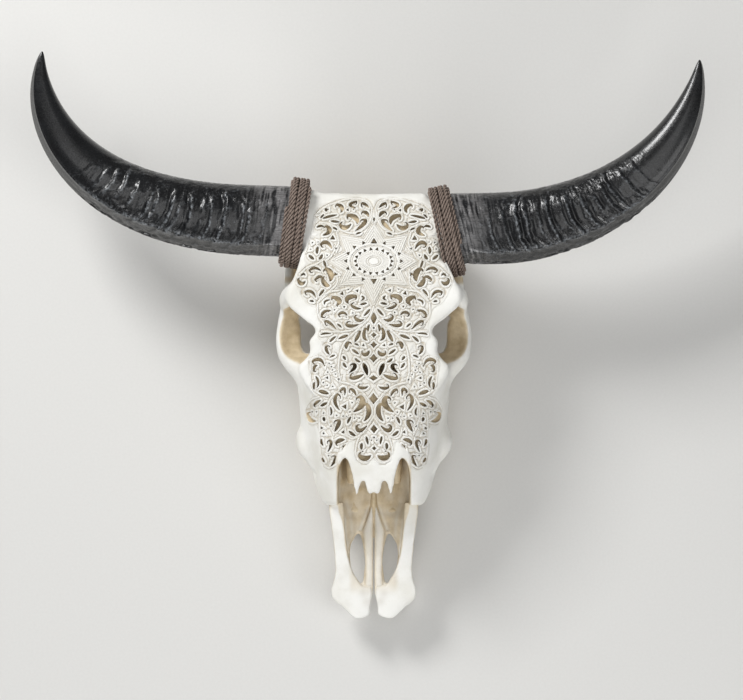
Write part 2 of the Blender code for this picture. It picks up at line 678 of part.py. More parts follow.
def nose_bone(side, name, parts):
    """One premaxilla: a bar from the joint, a flat rounded end, and a slim inner process."""
    pieces = collection(name + "_pieces", shown=False)
    trims = collection(name + "_trims", shown=False)
    front = SUTURE_Y - GAP
    bar = body(name, [
        (-110, 62, 94, 57, 4), (-128, 62, 86, 55, 4), (-157, 62, 74, 49, 4),
        (-184, 62, 63, 43, 4), (-205, 62, 56, 39, 4), (-228, 62, 52, 35, 4),
        (-246, 62, 47, 34, 4), (-256, 62, 43, 35, 4),
    ], parts, count=24)
    trim = prism("bar_trim", rounded(np.array(NOSE_BONE_OUTLINE) * (side, 1)), 0, 140, trims)
    boolean(bar, trims, "INTERSECT")
    settle(bar)
    bpy.data.objects.remove(trim)
    process = body("inner_process", [
        (-140, 62, 54, 46, 4), (-165, 62, 52, 44, 4), (-190, 62, 50, 42, 4), (-226, 62, 49, 40, 4),
    ], pieces, count=24)
    trim = prism("process_trim", np.array(INNER_PROCESS_OUTLINE) * (side, 1), 0, 140, trims)
    boolean(process, trims, "INTERSECT")
    settle(process)
    bpy.data.objects.remove(trim)
    boolean(bar, pieces, "UNION")
    settle(bar)
    remesh = bar.modifiers.new("fuse", "REMESH")
    remesh.mode = "VOXEL"
    remesh.voxel_size = 1.4 * MM
    smooth = bar.modifiers.new("soften", "SMOOTH")
    smooth.factor = 0.5
    smooth.iterations = 9
    settle(bar)
    thinner = bar.modifiers.new("thin out", "DECIMATE")
    thinner.ratio = 720 / max(1, sum(len(p.vertices) - 2 for p in bar.data.polygons))
    settle(bar)
    block("suture_trim", (-120, front, -20), (120, front + 40, 160), trims)
    inner = sorted((side * -20, side * 33))
    block("palate_trim", (inner[0], PALATE_FRONT_Y - GAP, -20), (inner[1], -130, 160), trims)
    ends = sorted((side * 0.8, side * -60))
    block("midline_trim", (ends[0], -320, -20), (ends[1], -100, 160), trims)
    boolean(bar, trims, "DIFFERENCE")
    settle(bar)
    empty_out(pieces)
    empty_out(trims)
    finish(bar, "bone")
    return bar


def horn_sheath(horn, name, parts):
    """A flattened, keeled horn with growth ridges that die away towards the smooth tip."""
    t, centres, ahead = horn_centreline(horn, HORN_STATIONS)
    axis = root_axis(horn)
    random = np.random.default_rng(3 if horn["side"] < 0 else 8)
    places = 0.06 + 0.60 * (np.arange(HORN_RINGS) + random.uniform(-0.3, 0.3, HORN_RINGS)) / HORN_RINGS
    heights = HORN_RING_HEIGHT * random.uniform(0.5, 1.2, HORN_RINGS) * (1 - (places / 0.72) ** 3)
    spread = 0.011
    rings = []
    count = HORN_SIDES
    a = (np.arange(count) + 0.5) * 2 * math.pi / count
    for i in range(HORN_STATIONS):
        side = np.array([-ahead[i, 1], ahead[i, 0], 0.0]) * horn["side"]
        half = horn["width"] / 2 * horn_width(t[i])
        deep = half * (HORN_DEPTH_SHARE + 0.2 * t[i])
        c, s = superellipse(2.3, count)
        ridge = (heights * np.exp(-((t[i] - places) / spread) ** 2)).sum()
        front = np.clip(0.35 + np.sin(a), 0, 1)
        swell = 1 + ridge * front / half
        centre = centres[i] + axis * GAP
        rings.append(centre + np.outer(c * half * swell, side) + np.outer(s * deep * swell, (0, 0, 1)))
    sheath = skin(name, rings, parts)
    finish(sheath, "horn")
    return sheath


def cord_binding(horn, name, parts):
    """A ring of cord turns side by side round the horn's root, clear of horn and stub."""
    turns = np.arange(CORD_TURNS * 2 + 1)
    offsets = (turns / 2 - CORD_TURNS / 2) * CORD_PITCH
    crest = np.where(turns % 2 == 1, CORD_THICKNESS, CORD_THICKNESS * 0.62)
    outline = [(o, CORD_INNER + c) for o, c in zip(offsets, crest)]
    outline += [(offsets[-1], CORD_INNER), (offsets[0], CORD_INNER)]
    loops = [root_section(horn, at, grow, count=32) for at, grow in outline]
    bm = bmesh.new()
    rows = [[bm.verts.new(Vector(p) * MM) for p in loop] for loop in loops]
    for below, above in zip(rows, rows[1:] + rows[:1]):
        for i in range(32):
            j = (i + 1) % 32
            bm.faces.new((below[i], below[j], above[j], above[i]))
    bmesh.ops.recalc_face_normals(bm, faces=bm.faces)
    mesh = bpy.data.meshes.new(name)
    bm.to_mesh(mesh)
    bm.free()
    ring = put(name, mesh, parts)
    finish(ring, "cord")
    return ring


def place_on_origin(objects):
    """Moves the model under one empty, so that the middle of its footprint is the origin."""
    corners = np.vstack([[tuple(v.co) for v in o.data.vertices] for o in objects])
    middle = (corners.min(0) + corners.max(0)) / 2
    anchor = bpy.data.objects.new("cow_skull", None)
    bpy.context.scene.collection.objects.link(anchor)
    anchor.location = (-middle[0], -middle[1], -corners[:, 2].min())
    for obj in objects:
        obj.parent = anchor


def main():
    clear_scene()
    parts = collection("cow_skull_parts")
    objects = [cranium(parts)]
    for label, side in (("right", -1), ("left", 1)):
        objects.append(nose_bone(side, "premaxilla_" + label, parts))
        objects.append(horn_sheath(HORNS[label], "horn_" + label, parts))
        objects.append(cord_binding(HORNS[label], "cord_binding_" + label, parts))
    place_on_origin(objects)


main()
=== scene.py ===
"""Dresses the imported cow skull: pierced white bone, black ridged horns and bound twine.

Shapes are worked out in millimetres in the skull's own frame, X across, Y from nose to
poll, Z up from the surface it lies on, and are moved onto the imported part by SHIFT.
"""

import math

import bmesh
import bpy
import numpy as np
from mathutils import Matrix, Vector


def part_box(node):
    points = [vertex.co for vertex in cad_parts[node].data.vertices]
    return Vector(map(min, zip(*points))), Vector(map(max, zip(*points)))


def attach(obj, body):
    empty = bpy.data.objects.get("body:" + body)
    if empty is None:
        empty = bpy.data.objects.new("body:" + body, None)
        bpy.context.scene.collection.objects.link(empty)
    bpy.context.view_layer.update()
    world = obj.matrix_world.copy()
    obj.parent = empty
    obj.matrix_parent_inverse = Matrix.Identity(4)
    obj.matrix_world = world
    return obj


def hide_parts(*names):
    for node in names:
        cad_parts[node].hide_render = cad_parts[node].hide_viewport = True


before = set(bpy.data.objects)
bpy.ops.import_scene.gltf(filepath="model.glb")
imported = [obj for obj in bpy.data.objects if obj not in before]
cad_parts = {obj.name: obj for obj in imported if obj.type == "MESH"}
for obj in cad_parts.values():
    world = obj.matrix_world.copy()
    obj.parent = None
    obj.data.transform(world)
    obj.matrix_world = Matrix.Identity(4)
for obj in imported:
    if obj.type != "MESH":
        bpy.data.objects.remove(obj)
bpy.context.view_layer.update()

MM = 0.001
PALATE_FRONT_Y = -147.0  # the cranium's foremost face, in the skull's own frame

low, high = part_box("cranium")
SHIFT = np.array([(low.x + high.x) / 2, low.y - PALATE_FRONT_Y * MM, 0.0])


# Meshes from arrays

def outward(points, faces):
    """The faces turned so that the volume they enclose comes out positive."""
    a, b, c = (points[faces[:, i]] for i in range(3))
    volume = np.einsum("ij,ij->i", a, np.cross(b, c)).sum()
    return faces if volume > 0 else faces[:, ::-1]


def move_points(mesh, points):
    """Puts a mesh's vertices at points in the skull's millimetres."""
    mesh.vertices.foreach_set("co", (points * MM + SHIFT).astype(np.float32).ravel())


def mesh_object(name, points, faces):
    """A smooth-shaded mesh from points in the skull's millimetres and triangles."""
    mesh = bpy.data.meshes.new(name)
    mesh.vertices.add(len(points))
    move_points(mesh, points)
    mesh.loops.add(len(faces) * 3)
    mesh.loops.foreach_set("vertex_index", faces.astype(np.int32).ravel())
    mesh.polygons.add(len(faces))
    mesh.polygons.foreach_set("loop_start", np.arange(0, len(faces) * 3, 3, dtype=np.int32))
    mesh.update(calc_edges=True)
    mesh.shade_smooth()
    obj = bpy.data.objects.new(name, mesh)
    bpy.context.scene.collection.objects.link(obj)
    return obj


def tube_faces(rows, columns):
    """Triangles of a grid closed around its columns, each end fanned to a point of its own."""
    i = np.arange(rows - 1)[:, None] * columns
    j = np.arange(columns)[None]
    k = (j + 1) % columns
    a, b, c, d = i + j, i + k, i + columns + k, i + columns + j
    last = (rows - 1) * columns
    first_pole, last_pole = rows * columns, rows * columns + 1
    j, k = j[0], k[0]
    return np.concatenate([
        np.stack([a, b, c], -1).reshape(-1, 3),
        np.stack([a, c, d], -1).reshape(-1, 3),
        np.stack([np.full(columns, first_pole), k, j], -1),
        np.stack([np.full(columns, last_pole), last + j, last + k], -1),
    ])


def tube(rings):
    """Points and triangles of a closed tube: its rings, and the middle of each end ring."""
    rows, columns = rings.shape[:2]
    points = np.vstack([rings.reshape(-1, 3), rings[0].mean(0), rings[-1].mean(0)])
    return points, outward(points, tube_faces(rows, columns))


def joined(parts):
    """Several (points, triangles) pairs as one."""
    starts = np.cumsum([0] + [len(points) for points, _ in parts])
    faces = [faces + start for (_, faces), start in zip(parts, starts)]
    return np.vstack([points for points, _ in parts]), np.vstack(faces)


def paint(obj, name, values):
    """One number a vertex, for the material to read."""
    made = obj.data.attributes.new(name, "FLOAT", "POINT")
    made.data.foreach_set("value", np.asarray(values, np.float32))


def skull_points(mesh, what="co"):
    """A mesh's vertices as an array, in the skull's millimetres."""
    flat = np.zeros(len(mesh.vertices) * 3, np.float32)
    mesh.vertices.foreach_get(what, flat)
    rows = flat.reshape(-1, 3).astype(float)
    return (rows - SHIFT) / MM if what == "co" else rows


def smooth_step(low, high, x):
    """Eased from 0 at low to 1 at high, which may also be the smaller of the two."""
    t = np.clip((x - low) / (high - low), 0, 1)
    return t * t * (3 - 2 * t)


def lattice_noise(points, grain, seed):
    """Random numbers at the corners of cubes as wide as the grain, eased between them."""
    size = 32
    table = np.random.default_rng(seed).uniform(-1, 1, (size, size, size))
    cell = points / grain
    corner = np.floor(cell).astype(int)
    t = cell - corner
    t = t * t * (3 - 2 * t)
    total = 0
    for dx in (0, 1):
        for dy in (0, 1):
            for dz in (0, 1):
                weight = (
                    np.abs(1 - dx - t[:, 0]) * np.abs(1 - dy - t[:, 1]) * np.abs(1 - dz - t[:, 2])
                )
                ix, iy, iz = ((corner[:, i] + d) % size for i, d in enumerate((dx, dy, dz)))
                total = total + weight * table[ix, iy, iz]
    return total


def along_table(table, at):
    """Values of a table of (place, value) rows at new places, joined by straight lines."""
    table = np.array(sorted(table), float)
    return np.interp(at, table[:, 0], table[:, 1])


# Materials

MIX_A, MIX_B, MIX_OUT = 6, 7, 2  # sockets of a Mix node that mixes colours


def colour(code):
    """A linear colour from an sRGB hex code."""
    parts = [int(code[i:i + 2], 16) / 255 for i in (1, 3, 5)]
    return (*[p / 12.92 if p <= 0.04045 else ((p + 0.055) / 1.055) ** 2.4 for p in parts], 1)


def add(tree, kind, inputs=None, **settings):
    """A node of one kind, with its settings and what each input holds or is fed by."""
    made = tree.nodes.new("ShaderNode" + kind)
    for name, value in settings.items():
        setattr(made, name, value)
    for name, value in (inputs or {}).items():
        if isinstance(value, bpy.types.NodeSocket):
            tree.links.new(value, made.inputs[name])
        else:
            made.inputs[name].default_value = value
    return made


def blend(tree, factor, a, b):
    """The socket of a colour between two, each a hex code or a socket."""
    a, b = (colour(x) if isinstance(x, str) else x for x in (a, b))
    made = add(tree, "Mix", {0: factor, MIX_A: a, MIX_B: b}, data_type="RGBA")
    return made.outputs[MIX_OUT]


def spread(tree, value, low, high, to_low=0.0, to_high=1.0):
    """The socket of a value eased from one range to another."""
    made = add(tree, "MapRange", {
        "Value": value, "From Min": low, "From Max": high, "To Min": to_low, "To Max": to_high,
    }, interpolation_type="SMOOTHSTEP")
    return made.outputs["Result"]


def sums(tree, how, a, b):
    """The socket of two values combined, such as ADD or MULTIPLY."""
    return add(tree, "Math", {0: a, 1: b}, operation=how).outputs[0]


def grain(tree, place, size_mm, detail=3.0, rough=0.55):
    """The socket of noise whose blotches are about that many millimetres wide."""
    made = add(tree, "TexNoise", {
        "Vector": place, "Scale": 1 / (size_mm * MM), "Detail": detail, "Roughness": rough,
    })
    return made.outputs["Fac"]


def start_material(name):
    """A new material, its tree, the socket of Object coordinates and its shader."""
    made = bpy.data.materials.new(name)
    made.use_nodes = True
    tree = made.node_tree
    place = add(tree, "TexCoord").outputs["Object"]
    return made, tree, place, tree.nodes["Principled BSDF"]


def read(tree, attribute):
    """The socket of a number painted on the vertices."""
    return add(tree, "Attribute", attribute_name=attribute).outputs["Fac"]


def bleached_bone():
    """Bone boiled, peroxide-bleached and left matt: chalk white outside, and tan inside
    where the bleach did not reach. A grey-brown in the carved lines and low ground is partly dust and
    partly painted shade."""
    made, tree, place, shader = start_material("bleached_bone")
    broad = grain(tree, place, 38.0, 4.0)
    fine = grain(tree, place, 2.2, 5.0, 0.65)
    white = blend(tree, spread(tree, broad, 0.35, 0.7), "#F0EFEA", "#E4E2DA")
    white = blend(tree, spread(tree, fine, 0.55, 0.8, 0, 0.35), white, "#D8D2C4")
    blotch = grain(tree, place, 14.0, 5.0, 0.6)
    tan = blend(tree, spread(tree, blotch, 0.3, 0.7), "#DCCCAE", "#C2B08F")
    base = blend(tree, read(tree, "inner"), white, tan)
    # Grey-brown in the carved lines and low ground: partly dust, partly painted shade.
    groove_dirt_and_shade = sums(tree, "MULTIPLY", read(tree, "dirt_and_painted_shade"), 0.62)
    base = blend(tree, groove_dirt_and_shade, base, "#97886C")
    tree.links.new(base, shader.inputs["Base Color"])
    shader.inputs["Roughness"].default_value = 0.58
    shader.inputs["Specular IOR Level"].default_value = 0.35
    pores = add(tree, "TexVoronoi", {"Vector": place, "Scale": 1 / (1.6 * MM)})
    pitted = spread(tree, pores.outputs["Distance"], 0.05, 0.3)
    worn = add(tree, "Bump", {
        "Strength": 0.18, "Distance": 0.35 * MM, "Height": sums(tree, "ADD", fine, pitted),
    })
    tree.links.new(worn.outputs["Normal"], shader.inputs["Normal"])
    return made


def tooth_enamel():
    """Old cheek teeth: ivory enamel, stained brown near the gum and in the crown's folds."""
    made, tree, place, shader = start_material("tooth_enamel")
    cloud = grain(tree, place, 6.0, 4.0)
    clean = blend(tree, spread(tree, cloud, 0.35, 0.7), "#E2D7B8", "#CDBB92")
    base = blend(tree, read(tree, "stain"), clean, "#6E5638")
    tree.links.new(base, shader.inputs["Base Color"])
    shader.inputs["Roughness"].default_value = 0.32
    shader.inputs["Coat Weight"].default_value = 0.25
    ripple = add(tree, "Bump", {"Strength": 0.3, "Distance": 0.4 * MM, "Height": cloud})
    tree.links.new(ripple.outputs["Normal"], shader.inputs["Normal"])
    return made


def horn_keratin():
    """Buffalo horn: black keratin, glossy where it is rubbed, with flaky grey fibres on the crests
    and keel, partly wear and partly painted highlight, and a chalky band where the sheath begins."""
    made, tree, place, shader = start_material("horn_keratin")
    across = add(tree, "UVMap", uv_map="Along").outputs["UV"]
    drawn = add(tree, "Mapping", {"Vector": across, "Scale": (0.12, 1.0, 1.0)}).outputs[0]
    fibre = add(tree, "TexNoise", {
        "Vector": drawn, "Scale": 900.0, "Detail": 5.0, "Roughness": 0.7,
    }).outputs["Fac"]
    flaky = grain(tree, place, 3.2, 6.0, 0.72)
    cloudy = grain(tree, place, 24.0, 4.0)
    black = blend(tree, spread(tree, cloudy, 0.35, 0.7), "#050506", "#101113")
    black = blend(tree, spread(tree, fibre, 0.5, 0.75, 0, 0.4), black, "#1D1E21")
    # The worn attribute is grey that is partly wear and partly painted highlight on the ridge crests
    # and keel.
    worn = sums(tree, "MULTIPLY", read(tree, "worn"), spread(tree, flaky, 0.42, 0.66))
    base = blend(tree, worn, black, "#7C8084")
    chalk = sums(tree, "MULTIPLY", read(tree, "root"), spread(tree, fibre, 0.3, 0.65, 0.15, 0.9))
    base = blend(tree, chalk, base, "#8B8989")
    tree.links.new(base, shader.inputs["Base Color"])
    rough = spread(tree, flaky, 0.3, 0.7, 0.20, 0.36)
    rough = sums(tree, "ADD", rough, sums(tree, "MULTIPLY", worn, 0.25))
    tree.links.new(rough, shader.inputs["Roughness"])
    shader.inputs["IOR"].default_value = 1.55
    shader.inputs["Specular IOR Level"].default_value = 0.36
    shader.inputs["Coat Weight"].default_value = 0.3
    shader.inputs["Coat Roughness"].default_value = 0.12
    flakes = sums(tree, "MULTIPLY", flaky, sums(tree, "MULTIPLY", read(tree, "rough"), 1.5))
    height = sums(tree, "ADD", sums(tree, "MULTIPLY", fibre, 0.6), flakes)
    bump = add(tree, "Bump", {"Strength": 0.4, "Distance": 0.6 * MM, "Height": height})
    tree.links.new(bump.outputs["Normal"], shader.inputs["Normal"])
    return made


def twisted_twine():
    """Laid plant-fibre twine, walnut brown and dull, paler where single fibres stand off."""
    made, tree, place, shader = start_material("twisted_twine")
    along = add(tree, "UVMap", uv_map="Along").outputs["UV"]
    hair = add(tree, "Mapping", {"Vector": along, "Scale": (0.2, 1.0, 1.0)}).outputs[0]
    fibre = add(tree, "TexNoise", {
        "Vector": hair, "Scale": 2600.0, "Detail": 4.0, "Roughness": 0.7,
    }).outputs["Fac"]
    patch = grain(tree, place, 11.0, 3.0)
    brown = blend(tree, spread(tree, patch, 0.3, 0.7), "#7A695F", "#5C4C43")
    brown = blend(tree, spread(tree, fibre, 0.35, 0.7), brown, "#A3958B")
    brown = blend(tree, read(tree, "shade"), brown, "#2A211C")
    tree.links.new(brown, shader.inputs["Base Color"])
    shader.inputs["Roughness"].default_value = 0.88
    shader.inputs["Specular IOR Level"].default_value = 0.2
    bump = add(tree, "Bump", {"Strength": 0.7, "Distance": 0.4 * MM, "Height": fibre})
    tree.links.new(bump.outputs["Normal"], shader.inputs["Normal"])
    return made


def studio_floor():
    """Pale matt paper under the skull."""
    made, tree, place, shader = start_material("studio_paper")
    tooth = grain(tree, place, 3.0, 2.0)
    shade = blend(tree, tooth, "#D4D3D0", "#DAD9D6")
    tree.links.new(shade, shader.inputs["Base Color"])
    shader.inputs["Roughness"].default_value = 0.9
    return made


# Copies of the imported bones, made fine

def cad_copy(name, node):
    """The node's mesh as a new object, with its loose triangles merged."""
    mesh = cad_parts[node].data.copy()
    bm = bmesh.new()
    bm.from_mesh(mesh)
    bmesh.ops.remove_doubles(bm, verts=bm.verts, dist=0.002 * MM)
    bm.to_mesh(mesh)
    bm.free()
    mesh.materials.clear()
    obj = bpy.data.objects.new(name, mesh)
    bpy.context.scene.collection.objects.link(obj)
    return obj


def apply_modifiers(obj):
    """The object with what its modifiers make as its mesh."""
    graph = bpy.context.evaluated_depsgraph_get()
    mesh = bpy.data.meshes.new_from_object(obj.evaluated_get(graph))
    obj.modifiers.clear()
    obj.data = mesh
    return obj


def fused(obj, voxel, rounds):
    """Rebuilt on an even grid of voxels and softened, so that no facet shows."""
    remesh = obj.modifiers.new("fine grid", "REMESH")
    remesh.mode = "VOXEL"
    remesh.voxel_size = voxel * MM
    remesh.use_smooth_shade = True
    soften = obj.modifiers.new("soften", "SMOOTH")
    soften.factor = 0.5
    soften.iterations = rounds
    return apply_modifiers(obj)


def soften_broad(obj, weight, rounds):
    """More smoothing, only where the weight array says, through a vertex group of fifths."""
    group = obj.vertex_groups.new(name="broad")
    fifths = np.round(weight * 5).astype(int)
    for step in range(1, 6):
        group.add(np.where(fifths == step)[0].tolist(), step / 5, "REPLACE")
    soften = obj.modifiers.new("soften broad bone", "SMOOTH")
    soften.factor = 0.5
    soften.iterations = rounds
    soften.vertex_group = "broad"
    return apply_modifiers(obj)


def roughen(obj, layers):
    """Each layer moves the surface along its normals by noise: (grain, height, seed)."""
    points, normals = skull_points(obj.data), skull_points(obj.data, "normal")
    lift = sum(height * lattice_noise(points, size, seed) for size, height, seed in layers)
    points = points + normals * lift[:, None]
    move_points(obj.data, points)
    obj.data.update()
    return points


def finish_piece(obj, material, *nodes, slot):
    """Gives a piece its material and body, and hides the CAD nodes it stands for. Its slot is not
    used.
    """
    obj.data.materials.clear()
    obj.data.materials.append(material)
    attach(obj, "root")
    if nodes:
        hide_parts(*nodes)
    return obj


# The pierced carving

CARVING_PITCH = 0.55  # grid spacing of the carved plate
LIP_HEIGHT = 1.0  # height of the raised lip round each hole
GROOVE_DEPTH = 1.2
LEAF_FULLNESS = 1.2  # the leaves' widths against those listed, which are to their dark part
PLATE_THICK = 4.4
POCKET_DEPTH = 14.0  # how far below the surface the hollow behind the carving is cut
SINUS_DEPTH = 7.2  # how far below the surface its floor of spongy bone then lies
STAR = (0.0, 168.4)
HAND_WANDER = 0.28  # how far the lines stray from a mirrored drawing
FAR = 9.0  # distance from a hole past which nothing changes
PLATE_CUTS = (-200, 38.0, 128.0, 400)  # places along Y where the carved plate is parted

# Half outline of the carved plate, from the poll down to the nose
PLATE_OUTLINE = [
    (0, 242), (20, 244.5), (36, 243), (50, 239), (62, 234), (68.5, 226), (71.5, 214), (73, 203),
    (75, 193), (79, 184), (82, 176), (85, 165), (90, 156), (93, 148), (92, 141), (88.5, 134),
    (86, 128), (80, 119), (72, 115), (68, 111), (66.5, 103), (64.5, 97), (63.5, 91), (65, 84),
    (66, 79), (61, 73), (61, 64), (66, 58), (75, 56), (77.5, 50), (76, 40), (74.5, 30), (74, 20),
    (71, 12), (75, 6), (80, -2), (82.5, -10), (80, -19), (74, -24.5), (67, -24.5), (65.5, -34),
    (65.5, -50), (64.5, -62), (60, -72), (53, -77), (47, -76), (43, -70), (41.5, -61), (38.5, -56),
    (33, -50), (29, -43), (25, -43), (24.5, -52), (24, -62), (19.5, -69.5), (12, -72.5), (4, -71),
    (0, -66),
]

# Pierced leaves of one half: start, middle, end and greatest width
LEAVES = [
    (20.8, 237.9, 28.2, 233.9, 21.5, 230.2, 3), (43, 234.6, 37.6, 230.5, 39, 225.2, 4),
    (14.1, 235.9, 10.1, 234.2, 6, 230.5, 3), (12.8, 225.8, 8.4, 223.8, 6.7, 219.8, 3.5),
    (30.2, 221.8, 21.5, 218.4, 19.8, 211.7, 5), (39.6, 209.7, 33.6, 207, 27.2, 211.1, 4.5),
    (9.4, 215.8, 13.4, 210.4, 21.5, 203.7, 4), (49.7, 215.1, 45.7, 214.4, 40.3, 213.7, 2.5),
    (47.7, 207, 45, 206, 43, 204.3, 2), (20.8, 199.6, 18, 201, 15.4, 201.3, 2),
    (56.2, 229.7, 56, 228, 55.4, 226.7, 2.5), (62.2, 219.2, 60, 221.5, 58.4, 223, 2),
    (59.2, 218.5, 51, 220.7, 43.5, 222.2, 2.5), (54.7, 208.8, 52.1, 202.8, 59.2, 198.3, 4.5),
    (65.9, 208, 62, 209.5, 58.4, 208, 2.5), (61.4, 187.9, 54.7, 189.7, 48.7, 182.7, 4),
    (65.1, 184.2, 66, 180, 65.5, 176.7, 3), (62.9, 170.7, 61, 173, 59.9, 175.9, 3),
    (74.8, 174.4, 72, 172, 69.6, 170, 3), (74.8, 157.3, 68.1, 159.9, 61.4, 156.5, 3),
    (53.9, 158.8, 49.5, 152, 50.5, 145, 6), (68.1, 146.2, 62.9, 149.8, 59.2, 148.3, 3),
    (88.3, 145.6, 84.4, 141.7, 79.9, 144.3, 4), (85, 150.8, 81.8, 153, 79.9, 150.8, 2),
    (59.5, 147, 56, 141, 51.5, 139.5, 5), (57.8, 168, 56.4, 164, 55.2, 160, 2.5),
    (80.1, 132.1, 72.7, 132.1, 67.8, 125.5, 3), (74.4, 121.4, 72, 121.4, 70.2, 120.6, 2),
    (57.9, 134.5, 61, 131, 63.7, 127.2, 2.5), (47.3, 126.3, 39.9, 122.2, 43.2, 116.9, 5),
    (51.4, 123, 56.7, 121, 57.1, 117.3, 2), (61.2, 103.4, 57.9, 109.1, 49.7, 110.7, 3),
    (57.1, 98.4, 51.4, 96, 44, 88.6, 3), (62, 82.8, 56.3, 84, 50.5, 83.6, 2),
    (51.4, 74.6, 48.1, 77.9, 44.4, 80.4, 2.5), (56.3, 68.9, 55.5, 63.9, 52.2, 59.4, 3),
    (51.4, 56.1, 48, 57.8, 45.6, 58.2, 2), (71.9, 51.6, 63.7, 53.3, 58.8, 47.5, 3.5),
    (70.2, 40.1, 69.4, 45.1, 66.1, 46.3, 3), (69.4, 26.2, 70, 22, 69.4, 18, 2.5),
    (67.5, 33.2, 64.9, 26.7, 66.2, 20.2, 2.5), (62.9, 16.3, 57.9, 14.7, 53, 13, 4),
    (20.8, 127.7, 30.2, 125, 29.5, 119, 5), (26.2, 117, 20.8, 113.6, 14.8, 113, 3),
    (14.8, 117.7, 11, 118.8, 8.1, 119, 2.5), (4.7, 111.6, 8.1, 107.6, 11.4, 104.2, 2.5),
    (13.5, 127.4, 11.6, 124.8, 14.8, 122.2, 2.2),
    (22.2, 102.9, 17.5, 98.9, 11.4, 100.2, 3.5), (32.2, 94.1, 26.2, 92.5, 17.5, 94.5, 3.5),
    (41, 106.2, 35.6, 108.3, 30.9, 104.9, 3), (42.3, 94.8, 40, 93, 37.6, 90.8, 2),
    (5.4, 93.5, 6.5, 90, 6.4, 86.1, 2.5), (10.1, 89.4, 11.4, 80, 7.4, 75.3, 3.5),
    (16.1, 85.4, 19.5, 78.7, 22.2, 74, 3.5), (22.2, 71.3, 20, 70.8, 17.5, 69.3, 2),
    (30.9, 81.4, 36.3, 79.7, 41.6, 77.4, 3), (30.2, 73.3, 32.2, 70, 32.2, 65.9, 4),
    (24.8, 64.6, 21, 61.8, 17.5, 59.2, 2.5), (12.8, 59.2, 8.1, 59.2, 5.4, 63.3, 4),
    (35.6, 56.6, 34.5, 55, 33.1, 52.7, 2.5), (35.6, 48.8, 34, 46, 31.8, 43.6, 2.5),
    (21.3, 54, 18.8, 51.4, 15.5, 50, 2.5),
    (23.2, 47.6, 22.5, 43.5, 28.5, 37.8, 4), (11.8, 47.6, 9.1, 41.5, 7.4, 34.8, 4.5),
    (27.2, 31.1, 19.8, 32.1, 11.8, 35.5, 4), (17.8, 20.7, 11.8, 19.7, 6.4, 21.7, 3),
    (14.4, 9.3, 13.8, 0.5, 23.2, -7.8, 6), (7.7, 1.2, 5.7, -8.9, 11.1, -18.3, 5),
    (27.2, 18.7, 23.2, 16, 20.5, 10.6, 3), (39.3, 16, 34.6, 18.7, 33.9, 11.3, 3),
    (42.6, 12.6, 45.3, 3.9, 40, -6.2, 3.5), (50.6, -3.3, 49.3, -8.5, 50.6, -12.4, 2),
    (40, -18.3, 42, -24.3, 45.7, -31, 4), (27.2, -14.2, 29.5, -18, 30.6, -21.6, 2.5),
    (20.5, -25, 16.5, -29.7, 8.4, -24.3, 4), (28.5, -31, 25, -34, 21.8, -35.7, 3),
    (44, -43.8, 39.3, -41.2, 34.6, -40.5, 4), (33.2, -46.5, 35.5, -51.5, 38, -56, 3),
    (9.1, -37.1, 8, -41.5, 7.1, -45.9, 2.5), (14.4, -45.2, 15, -48.5, 14.4, -51.9, 3),
    (17.1, -59.8, 10.4, -62.2, 4.4, -59.2, 5.5), (69.4, -0.4, 65.7, 3.4, 61.9, 5.2, 3),
    (61.2, -1.1, 57.5, 0.8, 54.5, 2.6, 3), (77.6, -10.8, 73.9, -17.5, 67.9, -19.0, 4.5),
    (58.2, -15.3, 58, -17, 57.5, -19, 3), (61.2, -40.7, 61.2, -44, 59, -48, 2.5),
    (51.5, -41.4, 50, -45.9, 53.7, -54.8, 3), (44.8, -60, 46.3, -66, 50, -71.2, 3),
    (60.5, -62.3, 59.5, -65, 57.5, -66.8, 2.5),
]

# Small three-cornered holes of one half: place and width
NICKS = [
    (30.9, 227.9, 3), (44, 182.9, 2.5), (54, 175, 2), (44.2, 152.8, 4), (48, 195, 5),
    (54.6, 31.9, 3), (44.8, 36, 2), (49.7, 45, 2), (54.6, 23, 2), (48, 21.5, 2),
    (36.6, 130.4, 4), (18.8, 133.8, 3), (34.3, 115, 2.5), (45.7, 111.6, 2), (24.2, 107.9, 2),
    (12.1, 69.6, 3), (33.9, -2.1, 5), (27.9, -8.2, 2), (17.1, -15.2, 2), (22.5, -15.2, 2),
    (35.9, -13.2, 2), (35.9, -31.7, 3.5), (71.6, -8.2, 2), (66.8, -8.2, 2), (60.8, -27.2, 3),
    (58.6, -33.6, 2.5), (50, -25, 2), (36.2, -48.1, 2), (53, -59.3, 2), (71.4, 189.8, 2),
    (73.4, 182, 1.6), (64.2, 223.6, 1.6), (53.9, 228.8, 2), (24, 228.8, 2), (29.2, 135.2, 1.6),
    (52.6, 109.2, 1.6), (42.1, 115.7, 1.6), (31.8, 102.7, 1.6), (57.8, 46.2, 2), (52.6, 48.8, 2),
    (48.7, 41, 2), (53.9, 38.4, 2), (59, 26, 2), (41, 30, 2.4), (25.3, 2.6, 2), (43.4, -12.4, 2),
    (58.4, -9.8, 2), (31.8, -13.7, 1.6), (3.2, -41, 2), (13.6, -54, 2), (64.9, 190.5, 1.6),
]

# Holes on the midline: middle, width, height and how hollow the sides are
MIDLINE_HOLES = [
    (217, 3, 6, 1.0), (101.4, 7, 14, 1.2), (90, 3, 3, 1.0), (81.7, 8, 8, 0.7), (70.3, 9, 9, 0.75),
    (54.5, 11, 11, 0.8), (31.5, 11, 7, 0.9), (7.5, 11, 14, 0.9), (-27.7, 9, 11, 0.9),
    (-37.8, 3, 3, 1.0), (-50.5, 6, 6, 0.8),
]

